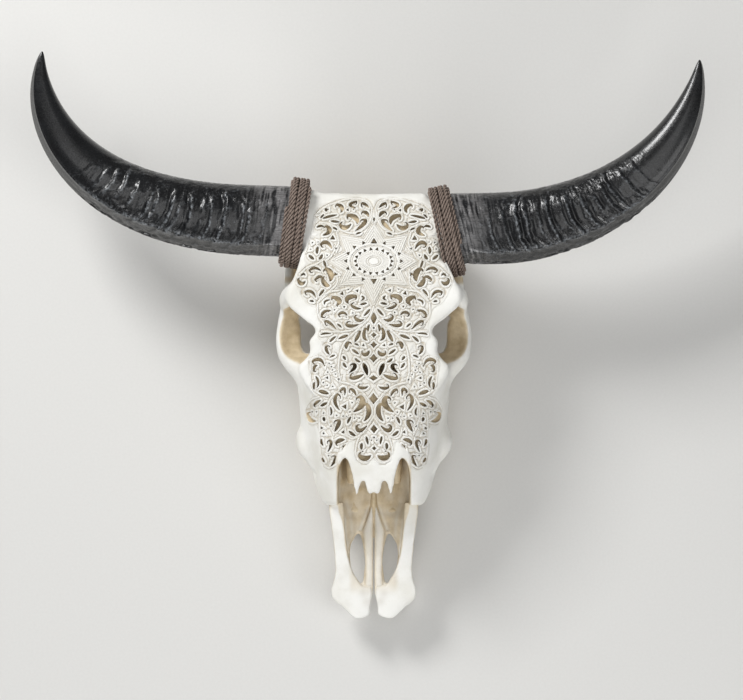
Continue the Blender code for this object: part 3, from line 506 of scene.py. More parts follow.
# Double-lined stems of one half
STEMS = [
    [(65.6, 224.9), (57.8, 231.4), (47.4, 236), (31.8, 240.5), (18.8, 241.2), (7, 237.9), (1.9, 230)],
    [(63.5, 213.5), (55, 212.5), (44.5, 208), (36, 203.2), (27, 200.8), (18, 202), (8, 209.5),
     (3.6, 219), (2.4, 230)],
    [(43.5, 201.5), (41, 189.8), (46, 180), (50, 172.9), (55.2, 168), (52.6, 161.2), (44.5, 156),
     (42.2, 143), (51.3, 133), (64.3, 120.9)],
    [(59.1, 169), (66.9, 164.5), (76, 161.5), (84, 155)],
    [(65.6, 119.6), (59.1, 128), (50, 132.6), (38, 134.4), (28, 137.5)],
    [(65.6, 119.6), (65.5, 107.9), (61.7, 99.5), (52.6, 91), (40, 86.2)],
    [(0, 115), (6, 101), (18.8, 90.5), (31.8, 86.4), (47.4, 86), (61.7, 86.5)],
    [(5.8, 100), (18.8, 88.5), (28, 80), (37, 68.3), (40.9, 52.7), (41.2, 38.4), (39, 28)],
    [(66, 57.5), (72.5, 54.5), (74.4, 43.6), (73.4, 28), (67.5, 15.5), (52.6, 10)],
    [(39.6, 27), (26.6, 23.6), (13.6, 15.4), (3.6, 2), (0.6, -14)],
    [(0.6, -14), (6.1, -21.8), (14, -32.5), (24, -39), (31, -36), (33.4, -27)],
    [(48.7, 9.8), (53.6, -0.6), (53, -18.9), (46.8, -35)],
    [(62.5, -5.9), (63.6, -20), (63.6, -40), (62.4, -57.9), (58, -70), (51.5, -73.6), (44.2, -69)],
    [(64, 9.5), (73, 6), (79, -2), (80.4, -11), (77.5, -18.5), (72, -22), (65.5, -20.5)],
    [(13.6, -29.3), (19.5, -42), (21.6, -55), (18.5, -64.5), (11.5, -68), (4.4, -66.3), (0.4, -62.5)],
]

STAR_TIPS = [(0, 44.6), (41, 31), (53, 0), (41, -29.5), (0, -50.7), (-41, -29.5), (-53, 0), (-41, 31)]
STAR_DIPS = [(12, 26), (33, 11), (33, -12), (12, -27), (-12, -27), (-33, -12), (-33, 11), (-12, 26)]
STAR_OVAL = (33.5, 23.5)  # half axes of the ring of holes that crosses the points
STAR_HATCH = 2.35  # spacing of the lines that run beside each edge
# Rings of three-cornered holes: count, half axes, width and share of a step they are turned
STAR_RINGS = ((18, 21.2, 14.2, 3.7, 0.5), (16, 32.3, 22.8, 3.9, 0))
STAR_PRICKS = (16, 27.3, 18.4, 1.5)


def spline(points, per_span=10):
    """A smooth curve through the points, by cubics whose slopes look to both neighbours."""
    p = np.array(points, float)
    p = np.vstack([2 * p[0] - p[1], p, 2 * p[-1] - p[-2]])
    t = np.linspace(0, 1, per_span, endpoint=False)[:, None]
    spans = []
    for a, b, c, d in zip(p, p[1:], p[2:], p[3:]):
        spans.append(0.5 * (2 * b + (c - a) * t + (2 * a - 5 * b + 4 * c - d) * t**2
                            + (3 * b - a - 3 * c + d) * t**3))
    return np.vstack([*spans, p[-2:-1]])


def to_chain(x, y, chain, radii):
    """Distance from points to a chain of round-ended, tapering links."""
    best = np.full(x.shape, 1e3)
    for (a, b, ra, rb) in zip(chain, chain[1:], radii, radii[1:]):
        along = b - a
        t = np.clip(((x - a[0]) * along[0] + (y - a[1]) * along[1]) / (along @ along + 1e-9), 0, 1)
        gap = np.hypot(x - a[0] - t * along[0], y - a[1] - t * along[1]) - (ra + t * (rb - ra))
        best = np.minimum(best, gap)
    return best


def to_polygon(x, y, corners):
    """Signed distance to a closed outline, positive inside."""
    best = np.full(x.shape, 1e3)
    odd = np.zeros(x.shape, bool)
    for a, b in zip(corners, np.roll(corners, -1, axis=0)):
        along = b - a
        t = np.clip(((x - a[0]) * along[0] + (y - a[1]) * along[1]) / (along @ along), 0, 1)
        best = np.minimum(best, np.hypot(x - a[0] - t * along[0], y - a[1] - t * along[1]))
        crosses = (a[1] > y) != (b[1] > y)
        with np.errstate(divide="ignore", invalid="ignore"):
            at = a[0] + (y - a[1]) / (b[1] - a[1]) * along[0]
        odd ^= crosses & (x < at)
    return np.where(odd, best, -best)


class Carving:
    """The carving seen from above, on a grid: how far each point is from the nearest hole
    and the next one, and how deep the lines cut there."""

    def __init__(self):
        self.xs = np.arange(-94, 94.01, CARVING_PITCH)
        self.ys = np.arange(-80, 247, CARVING_PITCH)
        self.x, self.y = np.meshgrid(self.xs, self.ys)
        # A hand cut it, so the two halves differ by a slow wander of the lines
        wander = np.sin(self.y / 23 + 1.3) + np.sin(self.x / 19 + self.y / 37)
        self.px = self.x + HAND_WANDER * wander
        self.py = self.y + HAND_WANDER * np.sin(self.x / 21 - self.y / 29 + 0.7)
        self.near = np.full(self.x.shape, FAR)
        self.next = np.full(self.x.shape, FAR)
        self.line = np.zeros(self.x.shape)
        self.stalk = np.zeros(self.x.shape)
        self.bead = np.full(self.x.shape, FAR)

    def window(self, low, high, margin=6.0):
        """The part of the grid round a box."""
        i = np.searchsorted(self.ys, [low[1] - margin, high[1] + margin])
        j = np.searchsorted(self.xs, [low[0] - margin, high[0] + margin])
        return slice(*i), slice(*j)

    def hole_distance(self, x, y):
        """Distance to the nearest hole at loose points, read from the grid."""
        i = np.clip(((y - self.ys[0]) / CARVING_PITCH).astype(int), 0, len(self.ys) - 1)
        j = np.clip(((x - self.xs[0]) / CARVING_PITCH).astype(int), 0, len(self.xs) - 1)
        return self.near[i, j]

    def pierce(self, window, gap):
        """A hole joins the nearest and next nearest distances."""
        near, following = self.near[window], self.next[window]
        self.next[window] = np.minimum(following, np.maximum(near, gap))
        self.near[window] = np.minimum(near, gap)

    def cut_line(self, window, gap, width=0.55):
        """A line whose section is a bell curve."""
        self.line[window] = np.maximum(self.line[window], np.exp(-(gap / width) ** 2))

    def leaf(self, side, x0, y0, x1, y1, x2, y2, width):
        """A crescent hole: a parabola through three points, blunt first and pointed last.
        A wide one curls on from its blunt end, round a bead that lies in its hollow."""
        first, middle, last = (np.array(p) * (side, 1) for p in ((x0, y0), (x1, y1), (x2, y2)))
        bend = 2 * middle - (first + last) / 2
        t = np.linspace(0, 1, 10)[:, None]
        chain = (1 - t) ** 2 * first + 2 * t * (1 - t) * bend + t * t * last
        shape = np.sin(np.pi * (0.12 + 0.85 * t[:, 0] ** 0.85)) ** 0.65
        radii = LEAF_FULLNESS * width / 2 * shape
        window = self.window(chain.min(0), chain.max(0), 8.0)
        x, y = self.px[window], self.py[window]
        self.pierce(window, to_chain(x, y, chain, radii))
        hollow = (first + last) / 2 - middle
        depth = np.hypot(*hollow)
        if depth < 0.9 or width < 3:
            return
        size = min(0.25 * width + 0.45, 1.75)
        reach = radii[3] + size + 0.35
        centre = chain[3] + hollow / depth * reach
        gap = np.hypot(x - centre[0], y - centre[1]) - size
        self.bead[window] = np.minimum(self.bead[window], gap / size)
        self.cut_line(window, gap - 0.3, 0.5)
        ahead, start = middle - centre, first - centre
        sweep = np.sign(ahead[0] * start[1] - ahead[1] * start[0])
        around = math.atan2(start[1], start[0]) + sweep * np.linspace(0.1, 1.5, 6)
        far = np.linspace(max(np.hypot(*start) - 0.3, size + 0.9), size + 0.8, 6)[:, None]
        hook = centre + far * np.stack([np.cos(around), np.sin(around)], 1)
        self.pierce(window, to_chain(x, y, hook, np.linspace(radii[0], 0.3, 6)))

    def nick(self, x, y, width, turn):
        """A three-cornered hole: the farthest of three edges, slightly rounded."""
        window = self.window((x - width, y - width), (x + width, y + width))
        px, py = self.px[window] - x, self.py[window] - y
        faces = [px * math.cos(a) + py * math.sin(a)
                 for a in (turn + k * 2 * math.pi / 3 for k in range(3))]
        self.pierce(window, np.maximum.reduce(faces) - width * 0.36)

    def midline_hole(self, y, width, height, hollow):
        """A diamond whose sides are hollow: powers of the two half axes' shares."""
        window = self.window((-width / 2, y - height / 2), (width / 2, y + height / 2))
        px, py = np.abs(self.px[window]), np.abs(self.py[window] - y)
        reach = ((px * 2 / width) ** hollow + (py * 2 / height) ** hollow) ** (1 / hollow)
        self.pierce(window, (reach - 1) * min(width, height) * 0.36)

    def stem(self, side, points):
        """Two lines side by side, with a ridge left standing between them."""
        chain = spline(np.array(points) * (side, 1), 6)
        window = self.window(chain.min(0), chain.max(0))
        gap = to_chain(self.px[window], self.py[window], chain, np.zeros(len(chain)))
        self.cut_line(window, gap - 1.5)
        self.stalk[window] = np.maximum(self.stalk[window], smooth_step(1.5, 0.7, gap))

    def rosette(self):
        """The star: its outline and ridges, hatching that runs beside each edge, rings of
        three-cornered holes, and an oval eye in the middle."""
        cx, cy = STAR
        tips, dips = np.array(STAR_TIPS, float), np.array(STAR_DIPS, float)
        corners = np.stack([tips, dips], 1).reshape(-1, 2)
        window = self.window(corners.min(0) + STAR, corners.max(0) + STAR, 3)
        x, y = self.px[window] - cx, self.py[window] - cy
        inside = to_polygon(x, y, corners)
        # Distance from the nearest edge of the point whose sector this is
        edge = np.full(x.shape, 1e3)
        ridge = np.full(x.shape, 1e3)
        angle = np.arctan2(y, x)
        for i, tip in enumerate(tips):
            before, after = dips[i - 1], dips[i]
            middle = math.atan2(tip[1], tip[0])
            turn = (angle - middle + np.pi) % (2 * np.pi) - np.pi
            for dip in (before, after):
                reach = (math.atan2(dip[1], dip[0]) - middle + np.pi) % (2 * np.pi) - np.pi
                mine = (turn * np.sign(reach) >= 0) & (np.abs(turn) <= abs(reach))
                along = (dip - tip) / np.hypot(*(dip - tip))
                gap = np.abs((x - tip[0]) * along[1] - (y - tip[1]) * along[0])
                edge = np.where(mine, gap, edge)
            across = np.abs(x * tip[1] - y * tip[0]) / np.hypot(*tip)
            ridge = np.minimum(ridge, np.where(np.abs(turn) < 0.35, across, 1e3))
        oval = np.hypot(x / STAR_OVAL[0], y / STAR_OVAL[1])
        hatch = 0.5 - 0.5 * np.cos(2 * np.pi * (edge - 1.6) / STAR_HATCH)
        hatch = np.where(edge < 1e2, hatch, 0)
        hatch *= smooth_step(1.2, 2.2, inside) * smooth_step(0.86, 0.92, oval)
        rays = 0.5 - 0.5 * np.cos(40 * np.arctan2(y / STAR_OVAL[1], x / STAR_OVAL[0]))
        rays *= smooth_step(0.30, 0.34, oval) * smooth_step(0.56, 0.52, oval)
        cuts = [0.8 * hatch ** 1.5, 0.7 * rays,
                np.exp(-((inside - 0.2) / 0.6) ** 2), np.exp(-((inside + 1.6) / 0.5) ** 2),
                0.7 * np.exp(-(ridge / 0.45) ** 2) * (inside > 0) * (oval > 1)]
        for share in (0.185, 0.26, 0.74, 0.80):
            cuts.append(np.exp(-((oval - share) * 28 / 0.6) ** 2))
        self.line[window] = np.maximum.reduce([self.line[window], *cuts])
        for count, rx, ry, width, offset in STAR_RINGS:
            for k in range(count):
                a = 2 * math.pi * (k + offset) / count + math.pi / 2
                big = 1.6 if offset == 0 and k % (count // 2) == 0 else 1.0
                hole = (cx + rx * math.cos(a), cy + ry * math.sin(a))
                self.nick(*hole, width * big, math.atan2(-hole[1] + cy, -hole[0] + cx))
        count, rx, ry, width = STAR_PRICKS
        for k in range(count):
            a = 2 * math.pi * k / count
            self.nick(cx + rx * math.cos(a), cy + ry * math.sin(a), width, a)

    def cut(self):
        """All the holes and lines, on both halves, and the distance inside the outline."""
        for side in (-1, 1):
            for leaf in LEAVES:
                self.leaf(side, *leaf)
            for number, (u, y, width) in enumerate(NICKS):
                self.nick(side * u, y, width, number * 1.7)
            for points in STEMS:
                self.stem(side, points)
        for hole in MIDLINE_HOLES:
            self.midline_hole(*hole)
        self.rosette()
        corners = np.array(PLATE_OUTLINE, float)
        corners = np.vstack([corners, corners[-2:0:-1] * (-1, 1)])
        outline = spline(np.vstack([corners, corners[:1]]), 4)[:-1]
        self.inside = to_polygon(self.x, self.y, outline)
        return self

    def relief(self):
        """Height of the carving against the bone around it, never above it: each hole has a
        rounded rim, a fine line parts it from the next one, and lines and beads are cut in."""
        near, gap = np.maximum(self.near, 0), self.next - self.near
        lip = np.sin(np.pi * np.clip(near / 2.7, 0, 1)) ** 0.6
        carved = smooth_step(8.0, 5.0, near)
        parting = np.exp(-(gap / 0.9) ** 2) * smooth_step(5.0, 3.6, near)
        border = np.exp(-((near - 2.75) / 0.5) ** 2) * smooth_step(0.8, 1.8, gap)
        star = to_polygon(self.px - STAR[0], self.py - STAR[1],
                          np.stack([STAR_TIPS, STAR_DIPS], 1).reshape(-1, 2).astype(float))
        plain = smooth_step(-0.5, 1.0, star)
        groove = np.maximum(self.line, (1 - plain) * np.maximum(parting, 0.9 * border))
        ball = np.sqrt(np.clip(1 - (1 + np.minimum(self.bead, 0)) ** 2, 0, 1))
        raised = np.maximum(np.maximum(lip, self.stalk), np.where(self.bead < 0, ball, 0))
        lowland = carved * (1 - raised) * (1 - plain)
        height = -LIP_HEIGHT * lowland - GROOVE_DEPTH * groove - 0.25 * plain
        # The second and third values are painted shade, partly dust, that darkens the grooves and the
        # low ground between the lips.
        return height, 0.7 * groove * (1 - 0.6 * self.stalk), 0.2 * lowland


def clipped(points, value, faces):
    """Triangles cut along value 0, keeping the positive side. A triangle with one corner in
    leaves a smaller one, and a triangle with two in leaves a quad, as two triangles."""
    inside = value[faces] > 0
    count = inside.sum(1)

    def turned(some, odd):
        return np.take_along_axis(some, (odd[:, None] + np.arange(3)) % 3, axis=1)

    one = turned(faces[count == 1], inside[count == 1].argmax(1))
    two = turned(faces[count == 2], inside[count == 2].argmin(1))
    cut = np.concatenate([one[:, [0, 1]], one[:, [0, 2]], two[:, [0, 1]], two[:, [0, 2]]])
    ends, which = np.unique(np.sort(cut, axis=1), axis=0, return_inverse=True)
    which = which.reshape(-1) + len(points)
    a, b = value[ends[:, 0]], value[ends[:, 1]]
    t = (a / (a - b))[:, None]
    points = np.vstack([points, points[ends[:, 0]] * (1 - t) + points[ends[:, 1]] * t])
    n, m = len(one), len(two)
    one_b, one_c = which[:n], which[n:2 * n]
    two_b, two_c = which[2 * n:2 * n + m], which[2 * n + m:]
    faces = np.concatenate([
        faces[count == 3], np.stack([one[:, 0], one_b, one_c], 1),
        np.stack([two_b, two[:, 1], two[:, 2]], 1), np.stack([two_b, two[:, 2], two_c], 1),
    ])
    used, faces = np.unique(faces, return_inverse=True)
    return points[used], faces.reshape(-1, 3)


def grid_triangles(rows, columns):
    """Two triangles a cell of an open grid."""
    i = np.arange(rows - 1)[:, None] * columns + np.arange(columns - 1)[None]
    i = i.reshape(-1)
    return np.concatenate([
        np.stack([i, i + 1, i + columns + 1], 1), np.stack([i, i + columns + 1, i + columns], 1),
    ])


def walled(top, faces, drops):
    """A sheet made a solid: its open edges drop by each step in turn, down to a floor sheet.
    The last drop may be an array, one depth a point."""
    edges = np.concatenate([faces[:, [0, 1]], faces[:, [1, 2]], faces[:, [2, 0]]])
    size = len(top)
    key = edges[:, 0].astype(np.int64) * size + edges[:, 1]
    back = edges[:, 1].astype(np.int64) * size + edges[:, 0]
    rim = edges[~np.isin(key, back)]
    layers, sheets = [top], [faces]
    edge_points, edge_faces = np.unique(rim, return_inverse=True)
    edge_faces = edge_faces.reshape(-1, 2)
    above = rim
    start = size
    for drop in drops[:-1]:
        lower = top[edge_points].copy()
        lower[:, 2] -= drop
        layers.append(lower)
        below = edge_faces + start
        start += len(lower)
        sheets += [np.stack([above[:, 1], above[:, 0], below[:, 0]], 1),
                   np.stack([above[:, 1], below[:, 0], below[:, 1]], 1)]
        above = below
    floor = top.copy()
    floor[:, 2] -= drops[-1]
    layers.append(floor)
    below = rim + start
    sheets += [np.stack([above[:, 1], above[:, 0], below[:, 0]], 1),
               np.stack([above[:, 1], below[:, 0], below[:, 1]], 1), faces[:, ::-1] + start]
    return np.vstack(layers), np.vstack(sheets)


# The bone's height under the carving

HEIGHT_PITCH = 1.5


def cubic_weights(at, start, pitch, count):
    """Rows of weights that read a smooth curve through evenly spaced samples."""
    place = np.clip((at - start) / pitch, 1, count - 2.001)
    left = np.floor(place).astype(int)
    t = place - left
    weights = np.zeros((len(at), count))
    rows = np.arange(len(at))
    weights[rows, left - 1] = 0.5 * (-t + 2 * t**2 - t**3)
    weights[rows, left] = 0.5 * (2 - 5 * t**2 + 3 * t**3)
    weights[rows, left + 1] = 0.5 * (t + 4 * t**2 - 3 * t**3)
    weights[rows, left + 2] += 0.5 * (t**3 - t**2)
    return weights


class BoneHeight:
    """Height of the uncut skull on a grid, read by dropping a sheet onto it."""

    def __init__(self, bone, carving):
        self.xs = np.arange(-99, 99.01, HEIGHT_PITCH)
        self.ys = np.arange(-87, 252.01, HEIGHT_PITCH)
        x, y = np.meshgrid(self.xs, self.ys)
        sheet = np.stack([x, y, np.full(x.shape, 260.0)], -1).reshape(-1, 3)
        drop = mesh_object("drop_sheet", sheet, grid_triangles(*x.shape))
        wrap = drop.modifiers.new("drop", "SHRINKWRAP")
        wrap.target = bone
        wrap.wrap_method = "PROJECT"
        wrap.use_project_z = True
        wrap.use_positive_direction = False
        wrap.use_negative_direction = True
        apply_modifiers(drop)
        z = skull_points(drop.data)[:, 2].reshape(x.shape)
        bpy.data.objects.remove(drop)
        # Where the sheet fell past an edge, its neighbours' height is carried over
        missed = (z > 250) | ((y > 54) & (z < 146)) | ((y < -52) & (np.abs(x) < 45) & (z < 118))
        # The solid's own openings are bridged over, as the bone was before it was carved
        opened = carving.hole_distance(x, y) < 1.6
        z = np.where(missed | opened, np.nan, z)
        for _ in range(14):
            z = self.filled(z)
        z = np.where(np.isnan(z), 150, z)
        for _ in range(30):
            z = np.where(opened, self.averaged(z), z)
        for _ in range(3):
            z = self.averaged(z)
        self.z = z

    @staticmethod
    def filled(z):
        """Each missing sample beside known ones takes their mean."""
        padded = np.pad(z, 1, constant_values=np.nan)
        around = np.stack([padded[:-2, 1:-1], padded[2:, 1:-1], padded[1:-1, :-2], padded[1:-1, 2:]])
        known = ~np.isnan(around)
        mean = np.where(known, around, 0).sum(0) / np.maximum(known.sum(0), 1)
        return np.where(np.isnan(z) & known.any(0), mean, z)

    @staticmethod
    def averaged(z):
        """Each sample as a weighted mean of its row's and then its column's three."""
        p = np.pad(z, 1, mode="edge")
        rows = (p[:-2] + 2 * p[1:-1] + p[2:]) / 4
        return (rows[:, :-2] + 2 * rows[:, 1:-1] + rows[:, 2:]) / 4

    def on_grid(self, xs, ys):
        """Heights on another grid, read by cubics."""
        across = cubic_weights(xs, self.xs[0], HEIGHT_PITCH, len(self.xs))
        along = cubic_weights(ys, self.ys[0], HEIGHT_PITCH, len(self.ys))
        return along @ self.z @ across.T

    def at(self, x, y):
        """Height at loose points, by the four samples around each."""
        u = np.clip((x - self.xs[0]) / HEIGHT_PITCH, 0, len(self.xs) - 1.001)
        v = np.clip((y - self.ys[0]) / HEIGHT_PITCH, 0, len(self.ys) - 1.001)
        i, j = np.floor(v).astype(int), np.floor(u).astype(int)
        s, t = v - i, u - j
        z = self.z
        return ((z[i, j] * (1 - t) + z[i, j + 1] * t) * (1 - s)
                + (z[i + 1, j] * (1 - t) + z[i + 1, j + 1] * t) * s)


RIM_HIDDEN = 0.4  # how far the plate's edge dives under the bone around it
RIM_PROUD = 0.06  # how far the plate stands above it further in


def carved_plates(carving, height, material):
    """The carved plate in three lengths: the bone's height, plus the relief, pierced where
    the carving's holes are and cut to its outline."""
    base = height.on_grid(carving.xs, carving.ys)
    relief, groove, lowland = carving.relief()
    settle = smooth_step(0.0, 2.6, carving.inside)
    z = base + relief * settle - RIM_HIDDEN + (RIM_HIDDEN + RIM_PROUD) * settle
    value = np.minimum(carving.near, carving.inside).reshape(-1)
    # Painted shade, partly dust, darkens the grooves and the low ground between the lips.
    dirt_and_painted_shade = np.maximum(groove, lowland) * smooth_step(0.0, 0.8, carving.near)
    sheet = np.stack([carving.x, carving.y, z, dirt_and_painted_shade], -1).reshape(-1, 4)
    faces = grid_triangles(*carving.x.shape)
    faces = faces[(value[faces] > 0).any(1)]
    top, faces = clipped(sheet, value, faces)
    solid, solid_faces = walled(top, faces, (0.5, PLATE_THICK))
    middle = solid[solid_faces][:, :, 1].mean(1)
    depth = height.at(solid[:, 0], solid[:, 1]) - solid[:, 2]
    for number, (start, stop) in enumerate(zip(PLATE_CUTS, PLATE_CUTS[1:])):
        mine = solid_faces[(middle > start) & (middle <= stop)]
        used, mine = np.unique(mine, return_inverse=True)
        plate = mesh_object(f"carved_bone_{number + 1}", solid[used][:, :3], mine.reshape(-1, 3))
        paint(plate, "dirt_and_painted_shade", np.clip(solid[used][:, 3], 0, 1))
        paint(plate, "inner", smooth_step(1.2, 3.2, depth[used]))
        finish_piece(plate, material, slot="bone")


def sinus_floor(carving, height, material):
    """Spongy bone behind the carving, under its own uneven top. It is missing where the
    photograph looks through to the dark, beside the midline below the eyes."""
    step = 3
    x, y = carving.x[::step, ::step], carving.y[::step, ::step]
    dark = np.maximum(1 - np.hypot((np.abs(x) - 22.5) / 6, (y - 43) / 7),
                      1 - np.hypot((np.abs(x) - 9.5) / 3.6, (y - 41) / 8))
    loose = np.stack([x, y, 0 * x], -1).reshape(-1, 3)
    uneven = (1.0 * lattice_noise(loose, 13, 61) + 0.5 * lattice_noise(loose, 4, 62)).reshape(x.shape)
    top = height.on_grid(carving.xs[::step], carving.ys[::step]) - SINUS_DEPTH + uneven
    top -= 2.0 * smooth_step(10, -20, y)
    value = np.minimum(carving.inside[::step, ::step] - 2.8, -4 * dark).reshape(-1)
    faces = grid_triangles(*x.shape)
    sheet = np.stack([x, y, top], -1).reshape(-1, 3)
    top, faces = clipped(sheet, value, faces[(value[faces] > 0).any(1)])
    solid, faces = walled(top, faces, (8.0,))
    floor = mesh_object("sinus_floor", solid, faces)
    paint(floor, "inner", np.ones(len(solid)))
    paint(floor, "dirt_and_painted_shade", np.zeros(len(solid)))
    finish_piece(floor, material, slot="bone")


def pocket(carving, height):
    """The hollow behind the carving: its outline drawn in, from above the bone down to a
    floor that follows the bone's height, deeper by the nose."""
    step = 4
    x, y = carving.x[::step, ::step], carving.y[::step, ::step]
    inside = carving.inside[::step, ::step] - 3.2
    floor = height.on_grid(carving.xs[::step], carving.ys[::step])
    deep = POCKET_DEPTH + 14 * np.exp(-(((np.abs(x) - 16) / 11) ** 2 + ((y - 41) / 9) ** 2))
    deep += 8 * smooth_step(12, -10, y) * smooth_step(38, 26, np.abs(x))
    sheet = np.stack([x, y, np.full(x.shape, 240.0), 240.0 - (floor - deep)], -1).reshape(-1, 4)
    value = inside.reshape(-1)
    faces = grid_triangles(*x.shape)
    top, faces = clipped(sheet, value, faces[(value[faces] > 0).any(1)])
    solid, faces = walled(top[:, :3], faces, (top[:, 3],))
    cutter = mesh_object("pocket_cutter", solid, faces)
    cutter.hide_render = True
    return cutter


# The bones

BONE_VOXEL = 1.9
NOSE_BONE_VOXEL = 0.9
SOCKET = (86, 83, 140)  # middle of the hollow of the eye
SOCKET_REACH = (31.5, 34.5, 33.5)
NASAL_TOP = [(-18, 163.6), (-40, 158.6), (-62, 152.6), (-86, 144.5), (-110, 134.5), (-150, 118)]


def unbleached(points, carving, height):
    """How far from the bleached outside each point is: 0 on the outside, 1 deep inside the
    orbits, the nose, the hollow behind the carving and the temples."""
    x, y, z = np.abs(points[:, 0]), points[:, 1], points[:, 2]
    socket = np.sqrt(sum(((at - middle) / reach) ** 2
                         for at, middle, reach in zip((x, y, z), SOCKET, SOCKET_REACH)))
    orbit = smooth_step(1.07, 1.0, socket)
    roof = along_table(NASAL_TOP, y)
    nose = (smooth_step(45, 41.5, x) * smooth_step(-50, -58, y) * smooth_step(-3.5, -8, z - roof)
            * smooth_step(40, 46, z))
    i = np.clip(((y - carving.ys[0]) / CARVING_PITCH).astype(int), 0, len(carving.ys) - 1)
    j = np.clip(((points[:, 0] - carving.xs[0]) / CARVING_PITCH).astype(int), 0,
                len(carving.xs) - 1)
    under = smooth_step(-2.0, -0.5, carving.inside[i, j])
    behind = under * smooth_step(1.5, 4, height.at(points[:, 0], y) - z)
    temple = 0.75 * smooth_step(62, 70, x) * smooth_step(98, 94, x) * smooth_step(100, 108, y)
    temple *= smooth_step(222, 210, y) * smooth_step(156, 146, z) * smooth_step(84, 96, z)
    return np.clip(np.maximum.reduce([orbit, nose, behind, temple]), 0, 1)


def skull_bone(carving, material):
    """The cranium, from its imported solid: first whole, to read its height, and then with
    the hollow cut, rebuilt fine, softened and roughened."""
    bone = cad_copy("skull_whole", "cranium")
    fused(bone, BONE_VOXEL, 12)
    height = BoneHeight(bone, carving)
    bpy.data.objects.remove(bone)
    cutter = pocket(carving, height)
    bone = cad_copy("skull_bone", "cranium")
    hollow = bone.modifiers.new("hollow", "BOOLEAN")
    hollow.object = cutter
    hollow.operation = "DIFFERENCE"
    hollow.solver = "EXACT"
    apply_modifiers(bone)
    bpy.data.objects.remove(cutter)
    fused(bone, BONE_VOXEL, 3)
    points = skull_points(bone.data)
    x, y, z = np.abs(points[:, 0]), points[:, 1], points[:, 2]
    prongs = smooth_step(-48, -58, y) * smooth_step(46, 42, x)
    crowns = smooth_step(34, 24, z)
    soften_broad(bone, 1 - np.maximum(prongs, crowns), 9)
    points = skull_points(bone.data)
    x, y, z = np.abs(points[:, 0]), points[:, 1], points[:, 2]
    by_cord = np.exp(-((x - 90) / 16) ** 2 - ((y - 172) / 22) ** 2) * smooth_step(130, 150, z)
    soften_broad(bone, np.minimum(1.4 * by_cord, 1), 30)
    points = roughen(bone, [(16, 0.30, 5), (6, 0.16, 6), (2.6, 0.08, 7)])
    paint(bone, "inner", unbleached(points, carving, height))
    paint(bone, "dirt_and_painted_shade", np.zeros(len(points)))
    finish_piece(bone, material, "cranium", slot="bone")
    return height


# Along Y: how far out the front ends still reach, the inner rim of each bar, and its top
NOSE_BONE_REACH = [
    (-205, 1.0), (-216, 1.0), (-226, 0.965), (-238, 0.90), (-245, 0.84), (-251, 0.78),
]
NOSE_BAR_RIM = [(-112, 43.0), (-126, 41.0), (-136, 37.5), (-146, 35.5), (-165, 33.8), (-182, 30.5)]
NOSE_BAR_TOP = [(-110, 94), (-157, 74), (-205, 56), (-228, 52)]
SUTURE_OVERLAP = 3.5  # how far the rear ends are drawn back into the upper jaw


def nose_bones(material):
    """The nose bones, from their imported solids, with their flat ends rounded in."""
    for side, name in ((1, "left"), (-1, "right")):
        bone = cad_copy(f"nose_bone_{name}", f"premaxilla_{name}")
        fused(bone, NOSE_BONE_VOXEL, 5)
        points = roughen(bone, [(14, 0.25, 15), (5, 0.12, 16)])
        u, y, z = np.abs(points[:, 0]), points[:, 1], points[:, 2]
        drawn = 1 - (1 - along_table(NOSE_BONE_REACH, y)) * smooth_step(8, 40, u)
        points[:, 0] *= drawn
        points[:, 1] += SUTURE_OVERLAP * smooth_step(-124, -118.5, y)
        rounded = np.clip(1 - 0.3 * ((u - 19) / 22) ** 2, 0.6, 1)
        points[:, 1] += np.minimum(y + 225, 0) * (rounded - 1)
        crown = np.cos(np.clip((u - 25) / 25, -1, 1) * 1.5)
        points[:, 2] += 1.2 * smooth_step(-205, -225, y) * crown
        move_points(bone.data, points)
        bone.data.update()
        bar = along_table(NOSE_BAR_TOP, y)
        inner = 0.4 * smooth_step(31, 24, u) * smooth_step(-226, -208, y)
        rim = along_table(NOSE_BAR_RIM, y)
        by_rim = smooth_step(rim + 0.8, rim - 1.0, u) * smooth_step(-186, -176, y)
        inner = np.maximum(inner, 0.8 * by_rim)
        below = smooth_step(1.0, 6.0, bar - z) * smooth_step(-218, -200, y)
        stain = np.exp(-((u - 12) ** 2 + (y + 221) ** 2) / 28)
        stain += np.exp(-((u - 8) ** 2 + (y + 231) ** 2) / 30)
        paint(bone, "inner", np.clip(np.maximum(inner, 0.8 * below), 0, 1))
        paint(bone, "dirt_and_painted_shade", 0.3 * np.clip(stain, 0, 1) * (z > 40))
        finish_piece(bone, material, f"premaxilla_{name}", slot="bone")


# The floor of the nose, half outline: from under the nasal bones to the two long openings
NOSE_FLOOR = [
    (0, -58), (42, -58), (44, -96), (44, -118.5), (37.5, -119.5), (36.2, -134), (34, -160),
    (31, -180), (29.3, -176), (28.4, -163), (25, -155), (20.5, -149.8), (16.6, -147.2),
    (12.5, -149.5), (11, -156), (0, -156),
]
NOSE_FLOOR_THICK = 1.8
NOSE_FLOOR_PITCH = 0.8
# Along Y: where the floor meets the bar, and its height there, in its trough and by the septum
FLOOR_EDGE = [(-60, 42), (-96, 43.2), (-115, 42.5), (-134, 36), (-160, 33.5), (-180, 30)]
FLOOR_RISE = [(-60, 100), (-100, 90), (-118, 84), (-140, 74), (-160, 66), (-180, 58)]
FLOOR_TROUGH = [(-60, 60), (-100, 57.5), (-120, 56), (-147, 55), (-180, 52.5)]
FLOOR_CREST = [(-60, 82), (-100, 66), (-111, 60), (-120, 55), (-150, 54), (-180, 52)]
FLOOR_FORK = [(1.0, -113.0), (7.0, -122.0), (12.0, -134.0), (16.4, -147.0)]


